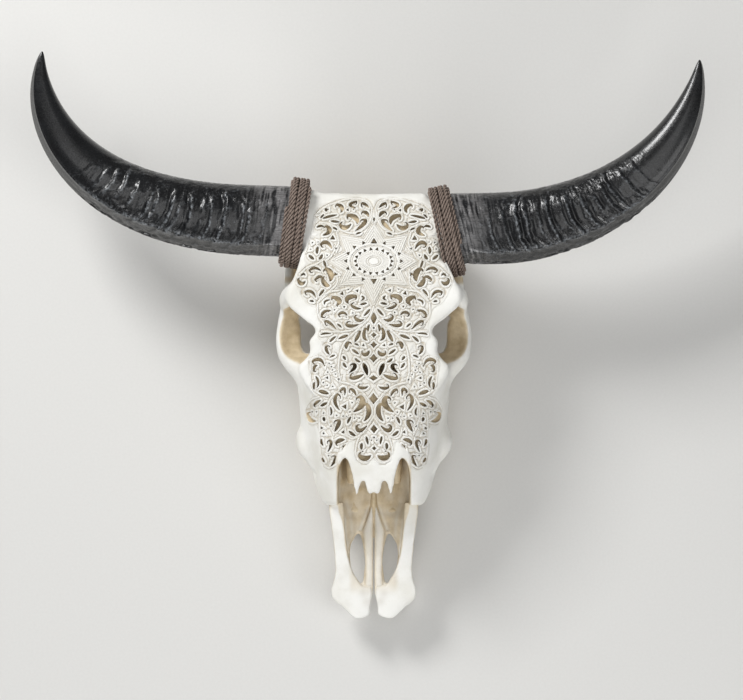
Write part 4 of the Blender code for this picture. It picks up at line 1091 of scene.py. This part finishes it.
def nose_floor(material):
    """A trough each side of the midline: it climbs to the bar outside and to the septum's
    foot inside, and a fine crest runs across it from the fork to the opening's edge."""
    xs = np.arange(-46, 46.01, NOSE_FLOOR_PITCH)
    ys = np.arange(-183, -55, NOSE_FLOOR_PITCH)
    x, y = np.meshgrid(xs, ys)
    u = np.abs(x)
    edge, rise, trough, crest = (
        along_table(table, y) for table in (FLOOR_EDGE, FLOOR_RISE, FLOOR_TROUGH, FLOOR_CREST))
    share = u / edge
    z = trough + (rise - trough) * smooth_step(0.5, 1.08, share) ** 1.2
    z += (crest - trough) * smooth_step(0.3, 0.0, share)
    fork = np.array(FLOOR_FORK)
    gap = np.abs(to_chain(u, y, fork, np.zeros(len(fork))))
    ridge = np.exp(-(gap / 2.4) ** 2)
    loose = np.stack([x, y, 0 * x], -1).reshape(-1, 3)
    uneven = lattice_noise(loose, 9, 71).reshape(x.shape)
    fine = lattice_noise(loose * (1, 0.25, 1), 3, 72).reshape(x.shape)
    z += 0.9 * ridge + 0.7 * uneven + 0.25 * fine
    outline = np.array(NOSE_FLOOR, float)
    outline = np.vstack([outline, outline[-2:0:-1] * (-1, 1)])
    value = to_polygon(x, y, outline).reshape(-1)
    tone = 0.85 - 0.3 * ridge - 0.45 * smooth_step(0.86, 1.0, share) + 0.2 * uneven
    tone -= 0.25 * np.exp(-((share - 0.74) / 0.06) ** 2) * smooth_step(-104, -116, y)
    sheet = np.stack([x, y, z, tone], -1).reshape(-1, 4)
    faces = grid_triangles(*x.shape)
    top, faces = clipped(sheet, value, faces[(value[faces] > 0).any(1)])
    solid, faces = walled(top, faces, (NOSE_FLOOR_THICK,))
    floor = mesh_object("nose_floor", solid[:, :3], faces)
    paint(floor, "inner", np.clip(solid[:, 3], 0, 1))
    paint(floor, "dirt_and_painted_shade", np.zeros(len(solid)))
    finish_piece(floor, material, slot="bone")


# One side's inner process: place along Y, inner edge, outer edge and top
PROCESS_ROWS = [
    (-113, 0.7, 1.4, 62.0), (-120, 0.7, 3.4, 61.0), (-134, 0.8, 8.0, 60.0), (-148, 0.9, 13.2, 58.6),
    (-163, 0.9, 11.4, 57.2), (-180, 0.9, 10.2, 55.2), (-200, 0.9, 9.8, 53.0), (-212, 1.0, 11.5, 51.5),
    (-222, 1.2, 13.0, 49.0),
]


def nose_processes(material):
    """Two slim tapering bars, side by side on the midline, which widen into the nose bones."""
    y = np.linspace(-113, -222, 90)
    inner, outer, top = (along_table([(row[0], row[i]) for row in PROCESS_ROWS], y) for i in (1, 2, 3))
    a = np.arange(20) * 2 * np.pi / 20
    c, s = np.cos(a), np.sin(a)
    for side, name in ((1, "left"), (-1, "right")):
        middle, half = (inner + outer) / 2, (outer - inner) / 2
        across = np.sign(c) * np.abs(c) ** 0.8
        x = middle[:, None] + half[:, None] * across
        crown = top[:, None] - 3.2 + 3.2 * np.sign(s) * np.abs(s) ** 0.7
        crown += 0.8 * np.exp(-((across - 0.1) / 0.3) ** 2) * (s > 0)
        rings = np.stack([side * x, np.broadcast_to(y[:, None], x.shape), crown], -1)
        points, faces = tube(rings)
        bar = mesh_object(f"inner_process_{name}", points, faces)
        tone = 0.3 + 0.35 * smooth_step(0.3, 1.0, np.abs(across))[None] + 0 * x
        paint(bar, "inner", np.append(tone.reshape(-1), (0.5, 0.5)))
        paint(bar, "dirt_and_painted_shade", np.zeros(len(points)))
        finish_piece(bar, material, slot="bone")


# The cheek teeth

TOOTH_ROW_FRONT = -111.0
TEETH = [(16, 13), (19, 17), (20, 20), (25, 23), (29, 25), (31, 24)]  # length and width
TOOTH_ROW_X = (47.0, 60.0)
TOOTH_RINGS = [  # height and share of the tooth's width, from the gum down and over the crown
    (44, 0.84), (34, 0.90), (24, 0.955), (14, 0.985), (6, 1.0), (2, 0.995), (0.5, 0.97),
    (0.0, 0.92), (0.35, 0.80), (0.9, 0.66), (0.5, 0.50), (1.4, 0.32), (0.8, 0.14),
]


def tooth(x, y, long, wide, side, molar):
    """A ring of 48 points at each height: a rounded block, drawn in at the gum, with
    upright folds on the cheek side, and a crown that dips between its enamel crests."""
    a = np.arange(48) * 2 * np.pi / 48
    c, s = np.cos(a), np.sin(a)
    square_c = np.sign(c) * np.abs(c) ** 0.56
    square_s = np.sign(s) * np.abs(s) ** 0.56
    folds = 0.07 * np.cos((4 if molar else 2) * np.pi * square_s) * np.clip(c, 0, 1) ** 0.5
    folds += 0.04 * np.cos(2 * np.pi * square_s) * np.clip(-c, 0, 1)
    rows = []
    for z, share in TOOTH_RINGS:
        grow = (0.35 if z > 1 or share > 0.9 else 0) + wide / 2 * share
        rows.append(np.stack([x + square_c * grow * (1 + folds * min(1, share)),
                              y + square_s * (long / 2 + 0.1) * share,
                              np.full(48, float(z))], 1))
    rings = np.stack(rows)
    rings[:, :, 0] *= side
    return tube(rings)


def cheek_teeth(material):
    """Each side's row of teeth, which bows outward towards the back."""
    for side, name in ((1, "left"), (-1, "right")):
        shapes, y = [], TOOTH_ROW_FRONT
        total = sum(long for long, _ in TEETH)
        for number, (long, wide) in enumerate(TEETH):
            share = (y + long / 2 - TOOTH_ROW_FRONT) / total
            x = TOOTH_ROW_X[0] + (TOOTH_ROW_X[1] - TOOTH_ROW_X[0]) * math.sin(share * np.pi / 2)
            shapes.append(tooth(x, y + long / 2, long, wide, side, number > 2))
            y += long
        points, faces = joined(shapes)
        teeth = mesh_object(f"cheek_teeth_{name}", points, faces)
        crown = (points[:, 2] < 1.6) & (points[:, 2] > 0.3)
        gum = smooth_step(18, 34, points[:, 2])
        paint(teeth, "stain", np.clip(0.65 * crown + 0.5 * gum, 0, 1))
        finish_piece(teeth, material, slot="bone")


# The horns

HORN_ROOT_Z = 150.0
HORN_DEPTH_SHARE = 0.68
HORN_GAP = 0.3
HORNS = {
    "right": dict(side=-1, root=(-92.0, 213.0), length=409.0, heading=2.2, turn=99.7,
                  turn_power=2.03, width=86.0, tilt=8.0, rise=26.0, seed=3),
    "left": dict(side=1, root=(86.0, 203.0), length=396.0, heading=0.6, turn=86.7,
                 turn_power=1.55, width=88.0, tilt=13.0, rise=20.0, seed=8),
}
CORD_TURNS = 6
CORD_PITCH = 4.3
CORD_INNER = 2.6
HORN_FACETED = 0.982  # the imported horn's flat sides lie this far inside its round section
OVAL_POWER = 2 / 2.3  # under 1, it makes an oval squarer


def root_axis(horn):
    """Direction in which the horn leaves the skull."""
    tilt = math.radians(horn["tilt"])
    return np.array([horn["side"] * math.cos(tilt), math.sin(tilt), 0.0])


def horn_centreline(horn, count):
    """Points and headings of the centreline: straight under the cord, and then its heading
    turns as a power of the length."""
    t = np.linspace(0, 1, count)
    heading = np.radians(horn["heading"] + horn["turn"] * t ** horn["turn_power"])
    ahead = np.stack([horn["side"] * np.cos(heading), np.sin(heading)], 1)
    run = horn["length"] / (count - 1)
    walk = np.vstack([[0, 0], np.cumsum((ahead[1:] + ahead[:-1]) / 2 * run, axis=0)])
    axis = root_axis(horn)[:2]
    bound = CORD_TURNS * CORD_PITCH / 2 + 2
    ease = smooth_step(0, 90, t * horn["length"] - bound)[:, None]
    held = np.minimum(1, bound / np.maximum(t * horn["length"], 1e-6))[:, None]
    walk += (axis * (t * horn["length"])[:, None] - walk) * held * (1 - ease)
    ahead = axis * (1 - ease) + ahead * ease
    ahead /= np.linalg.norm(ahead, axis=1)[:, None]
    z = HORN_ROOT_Z + horn["rise"] * t**2.4
    return t, np.column_stack([np.array(horn["root"]) + walk, z]), ahead


def squarer(share):
    """A cosine or sine raised to the oval's power, its sign kept."""
    return np.sign(share) * np.abs(share) ** OVAL_POWER


def horn_width(t):
    """Share of the root's width: a long taper that closes quickly to the tip."""
    return np.maximum((1 - np.minimum(t, 1) ** 2.35), 0) ** 0.78 * 0.985 + 0.015


# Growth ridges: distance from the cord, height, and how far up the face each one reaches
HORN_RIDGES = [
    (24, 0.5, 0.3), (38, 1.3, 0.25), (51, 1.5, 0.35), (69, 2.0, 0.75), (83, 1.2, 0.6),
    (97, 0.7, 0.5),
    (110, 1.9, 0.6), (122, 0.8, 0.4), (134, 1.8, 0.5), (150, 1.2, 0.35), (163, 1.5, 0.2),
    (181, 1.3, 0.45), (192, 1.1, 0.75), (209, 1.0, 0.5), (226, 0.7, 0.4), (243, 0.5, 0.3),
]
HORN_KEEL = 2.26  # angle round the section at which the keel runs
HORN_GRID = (520, 168)  # rings along the horn, and points round each


def horn_section(angle):
    """Unit section: an oval whose outer lower quarter is cut off flat below the keel."""
    c, s = squarer(np.cos(angle)), squarer(np.sin(angle))
    keel_c, keel_s = squarer(math.cos(HORN_KEEL)), squarer(math.sin(HORN_KEEL))
    share = np.clip((keel_c - c) / (keel_c + 1), 0, 1)
    facet = keel_s + (-0.1 - keel_s) * share ** 1.15
    below = (angle > HORN_KEEL) & (angle < math.pi + 0.3)
    return c, np.where(below, np.minimum(s, facet), s)


def horn_sheath(horn, name, material):
    """The sheath: a keeled section carried along the centreline. Bowed growth ridges cross
    the upper face up to the keel, each with a hollow on its tip side, and die away towards
    the smooth last third. Below the keel the edge is lumpy."""
    rows, columns = HORN_GRID
    t, centres, ahead = horn_centreline(horn, rows)
    a = (np.arange(columns) + 0.5) * 2 * np.pi / columns
    random = np.random.default_rng(horn["seed"])
    grid_t, grid_a = np.meshgrid(t, a, indexing="ij")
    half = horn["width"] / 2 * HORN_FACETED * horn_width(grid_t)
    deep = half * (HORN_DEPTH_SHARE + 0.2 * grid_t)
    c, s = np.cos(grid_a), np.sin(grid_a)
    oval_c, oval_s = horn_section(grid_a)
    length = horn["length"]
    along = grid_t * length - CORD_TURNS * CORD_PITCH / 2
    flat = np.stack([grid_t * length, c * 40, s * 40], -1).reshape(-1, 3)

    def noise(size, seed, stretch=(1, 1, 1)):
        return lattice_noise(flat * stretch, size, horn["seed"] + seed).reshape(half.shape)

    patchy, lumps, specks = noise(16, 30), noise(6.5, 40), noise(2.6, 50)
    hair = noise(1.5, 60, (1, 0.07, 0.07))
    rough = smooth_step(0.70, 0.5, grid_t + 0.04 * patchy)
    face = smooth_step(-0.05, 0.25, s)
    ridge, crest_highlight = np.zeros(half.shape), np.zeros(half.shape)
    for place, height, top in HORN_RIDGES:
        place += random.uniform(-4, 4)
        height *= random.uniform(0.75, 1.15)
        bow = np.where(c < 0.1, 15, 7) * (c - 0.1) ** 2
        wavy = 1.2 * lumps + 1.4 * patchy
        gap = along - place - bow - wavy
        reach = smooth_step(-0.80, -0.55, c) * smooth_step(top + 0.15, top - 0.2, c) * face
        reach = reach * smooth_step(-0.9, -0.2, noise(11, int(place), (0.3, 1, 1)))
        crest = np.exp(-(gap / np.where(gap < 0, 3.4, 1.5)) ** 2)
        ridge += height * reach * (crest - 1.25 * np.exp(-((gap - 4.6) / 2.6) ** 2))
        crest_highlight += min(height, 1.6) * reach * np.exp(-(gap / 1.25) ** 2)
    keel_gap = (grid_a - HORN_KEEL - 0.06 * patchy * rough) / 0.075
    keel = np.exp(-keel_gap ** 2) * smooth_step(8, 40, along)
    fade = smooth_step(1.0, 0.72, grid_t)
    edge = smooth_step(-0.75, -0.95, c) * rough
    lift = ridge * rough + 0.45 * lumps * rough * face + 0.22 * specks * rough - 0.8
    lift += 0.9 * keel * fade + 1.6 * edge * np.minimum(lumps, 0.2) + 0.16 * hair * rough
    lift = np.clip(lift, -4.0, np.where(face > 0.5, 1.7, 0.1)) * smooth_step(1.0, 0.93, grid_t)
    side = np.stack([-ahead[:, 1], ahead[:, 0], np.zeros(rows)], 1) * horn["side"]
    start = centres + root_axis(horn) * HORN_GAP
    rings = (start[:, None] + (oval_c * (half + lift))[..., None] * side[:, None]
             + (oval_s * (deep + lift))[..., None] * np.array([0.0, 0.0, 1.0]))
    points, faces = tube(rings)
    sheath = mesh_object(name, points, faces)
    # Grey on the ridge crests and along the keel is painted highlight; the flecks on the face are
    # wear.
    worn = 1.1 * crest_highlight + 0.4 * smooth_step(0.25, 0.8, specks + 0.5 * lumps) * face
    worn = worn * smooth_step(-0.7, 0.2, patchy + 0.3 * lumps) * rough + 0.85 * keel * fade * rough
    paint(sheath, "worn", np.append(np.clip(worn, 0, 1).reshape(-1), (0, 0)))
    near_cord = smooth_step(62, 6, along + 8 * patchy) * (0.35 + 0.65 * smooth_step(-0.1, 0.5, c))
    near_cord = np.maximum(near_cord, smooth_step(30, 8, along + 5 * lumps))
    root = near_cord * smooth_step(-0.35, 0.35, hair + 0.4 * lumps)
    paint(sheath, "root", np.append(root.reshape(-1), (0, 0)))
    paint(sheath, "rough", np.append(rough.reshape(-1), (1, 0)))
    uv = np.stack([grid_t * length, grid_a / (2 * np.pi) * horn["width"] * 2.6], -1) * MM
    add_uv(sheath, np.vstack([uv.reshape(-1, 2), uv[0, :1], uv[-1, :1]]))
    finish_piece(sheath, material, name.replace("_sheath", ""), slot="horn")


def add_uv(obj, uv):
    """A UV map called Along, in metres, from one pair a vertex."""
    layer = obj.data.uv_layers.new(name="Along")
    corners = np.zeros(len(obj.data.loops), np.int32)
    obj.data.loops.foreach_get("vertex_index", corners)
    layer.data.foreach_set("uv", uv[corners].astype(np.float32).ravel())


# The bound cord

TWINE_TURNS = 6.7
TWINE_ROPE = 2.2  # radius of the twine, two strands laid together
STRAND = 1.2
LAY_LENGTH = 11.5  # length in which the strands go once round


def binding_path(horn, turns, grow, start, pitch, wobble, per_turn=380):
    """A helix on the horn's root: an oval a little outside it, moving along its axis."""
    count = int(turns * per_turn)
    a = np.linspace(0, turns * 2 * np.pi, count)
    axis = root_axis(horn)
    across = np.array([-axis[1], axis[0], 0.0])
    half = horn["width"] / 2 + grow
    deep = horn["width"] / 2 * HORN_DEPTH_SHARE + grow
    oval_c, oval_s = squarer(np.cos(a)), squarer(np.sin(a))
    shift = start + pitch * a / (2 * np.pi) + wobble * np.sin(a * 1.37 + start)
    centre = np.array([*horn["root"], HORN_ROOT_Z])
    return (centre + shift[:, None] * axis + (oval_c * half)[:, None] * across
            + (oval_s * deep)[:, None] * (0, 0, 1)), axis


def twine(path, axis, rope, strand, lay, strands=2, sides=7):
    """Strands laid round a path: each goes round it once in a lay's length, as a tube."""
    along = np.gradient(path, axis=0)
    step = np.linalg.norm(along, axis=1)
    along /= step[:, None]
    run = np.cumsum(step)
    out = np.cross(along, axis)
    out /= np.linalg.norm(out, axis=1)[:, None]
    over = np.cross(along, out)
    made, uvs, shades = [], [], []
    b = np.arange(sides) * 2 * np.pi / sides
    for k in range(strands):
        turn = run / lay * 2 * np.pi + k * 2 * np.pi / strands
        toward = out * np.cos(turn)[:, None] + over * np.sin(turn)[:, None]
        centre = path + toward * (rope - strand)
        heading = np.gradient(centre, axis=0)
        heading /= np.linalg.norm(heading, axis=1)[:, None]
        side = np.cross(heading, toward)
        side /= np.linalg.norm(side, axis=1)[:, None]
        up = np.cross(side, heading)
        ring = (centre[:, None] + strand * (np.cos(b)[None, :, None] * side[:, None]
                                            + np.sin(b)[None, :, None] * up[:, None]))
        made.append(tube(ring))
        uv = np.stack(np.broadcast_arrays(run[:, None], b[None] * strand + k * 5.0), -1) * MM
        uvs.append(np.vstack([uv.reshape(-1, 2), uv[0, :1], uv[-1, :1]]))
        from_rope = np.linalg.norm(ring - path[:, None], axis=2) / rope
        shade = 1 - smooth_step(0.5, 0.95, from_rope)
        shades.append(np.append(shade.reshape(-1), (0, 0)))
    return joined(made), np.vstack(uvs), np.concatenate(shades)


def cord_binding(horn, name, material):
    """Twine wound close round the horn's root, with a second, looser layer over it."""
    reach = CORD_TURNS * CORD_PITCH / 2
    spacing = (2 * reach - 2 * TWINE_ROPE) / (TWINE_TURNS - 1)
    layers = [
        (TWINE_TURNS - 0.4, CORD_INNER + TWINE_ROPE - 0.2, -reach + TWINE_ROPE, spacing * 0.98, 0.3),
        (TWINE_TURNS - 1.3, CORD_INNER + 2.7 * TWINE_ROPE - 0.1, reach - 1.9 * TWINE_ROPE,
         -spacing * 0.98, 0.8),
    ]
    shapes, uvs, shades = [], [], []
    for turns, grow, start, pitch, wobble in layers:
        path, axis = binding_path(horn, turns, grow, start, pitch, wobble)
        shape, uv, shade = twine(path, axis, TWINE_ROPE, STRAND, LAY_LENGTH)
        shapes.append(shape)
        uvs.append(uv)
        shades.append(shade)
    points, faces = joined(shapes)
    cord = mesh_object(name, points, faces)
    paint(cord, "shade", 0.85 * np.concatenate(shades))
    add_uv(cord, np.vstack(uvs))
    finish_piece(cord, material, name.replace("twine", "cord_binding"), slot="cord")


# Camera, lights and floor

PIXEL = 1.17  # millimetres that one pixel of the photograph spans at the skull
PHOTO_WIDTH = 743
MIDLINE_PX, ZERO_PY = 373.8, 405.0  # where the photograph shows the skull's own origin
PHOTO_CENTRE_PX = (371.5, 350.0)
CAMERA_HEIGHT = 30.0  # far off, with a long lens, as the photograph shows hardly any depth
SKULL_MIDDLE_Z = 0.15
SENSOR = 36.0
FLOOR_REACH = 4.0
SKY_STRENGTH = 0.26
LIGHTS = [  # name, place, width and power
    ("key", (-1.2, 1.5, 1.6), 0.7, 46.0), ("fill", (1.6, -0.9, 1.8), 1.2, 12.0),
    ("top", (0.2, -0.3, 2.6), 1.6, 14.0), ("nose_side", (-0.3, -2.3, 1.0), 0.9, 22.0),
]
LIGHTS_AIM = (0, 0, 0.1)


def studio():
    """The camera straight above the skull, the lamps, the sky and the floor."""
    x = (PHOTO_CENTRE_PX[0] - MIDLINE_PX) * PIXEL * MM + SHIFT[0]
    y = (ZERO_PY - PHOTO_CENTRE_PX[1]) * PIXEL * MM + SHIFT[1]
    data = bpy.data.cameras.new("camera")
    data.sensor_width = SENSOR
    data.lens = SENSOR * (CAMERA_HEIGHT - SKULL_MIDDLE_Z) / (PHOTO_WIDTH * PIXEL * MM)
    data.clip_end = 50
    camera = bpy.data.objects.new("camera", data)
    camera.location = (x, y, CAMERA_HEIGHT)
    bpy.context.scene.collection.objects.link(camera)
    bpy.context.scene.camera = camera

    for name, place, size, power in LIGHTS:
        lamp = bpy.data.lights.new(name, "AREA")
        lamp.size = size
        lamp.energy = power
        obj = bpy.data.objects.new(name, lamp)
        obj.location = place
        aim = np.array(place) - LIGHTS_AIM
        obj.rotation_euler = (
            math.atan2(math.hypot(aim[0], aim[1]), aim[2]), 0, math.atan2(aim[0], -aim[1]))
        bpy.context.scene.collection.objects.link(obj)

    bpy.context.scene.view_settings.view_transform = "Standard"
    world = bpy.data.worlds.new("studio")
    world.use_nodes = True
    sky = world.node_tree.nodes["Background"]
    sky.inputs["Color"].default_value = colour("#E6E8EA")
    sky.inputs["Strength"].default_value = SKY_STRENGTH
    bpy.context.scene.world = world

    mesh = bpy.data.meshes.new("floor")
    corners = [(i * FLOOR_REACH, j * FLOOR_REACH, 0) for i, j in ((-1, -1), (1, -1), (1, 1), (-1, 1))]
    mesh.from_pydata(corners, [], [(0, 1, 2, 3)])
    floor = bpy.data.objects.new("floor", mesh)
    mesh.materials.append(studio_floor())
    bpy.context.scene.collection.objects.link(floor)


def main():
    bone, enamel, keratin, twined = bleached_bone(), tooth_enamel(), horn_keratin(), twisted_twine()
    studio()
    carving = Carving().cut()
    height = skull_bone(carving, bone)
    carved_plates(carving, height, bone)
    sinus_floor(carving, height, bone)
    nose_bones(bone)
    nose_floor(bone)
    nose_processes(bone)
    cheek_teeth(enamel)
    for label, horn in HORNS.items():
        horn_sheath(horn, f"horn_{label}_sheath", keratin)
        cord_binding(horn, f"twine_{label}", twined)


main()
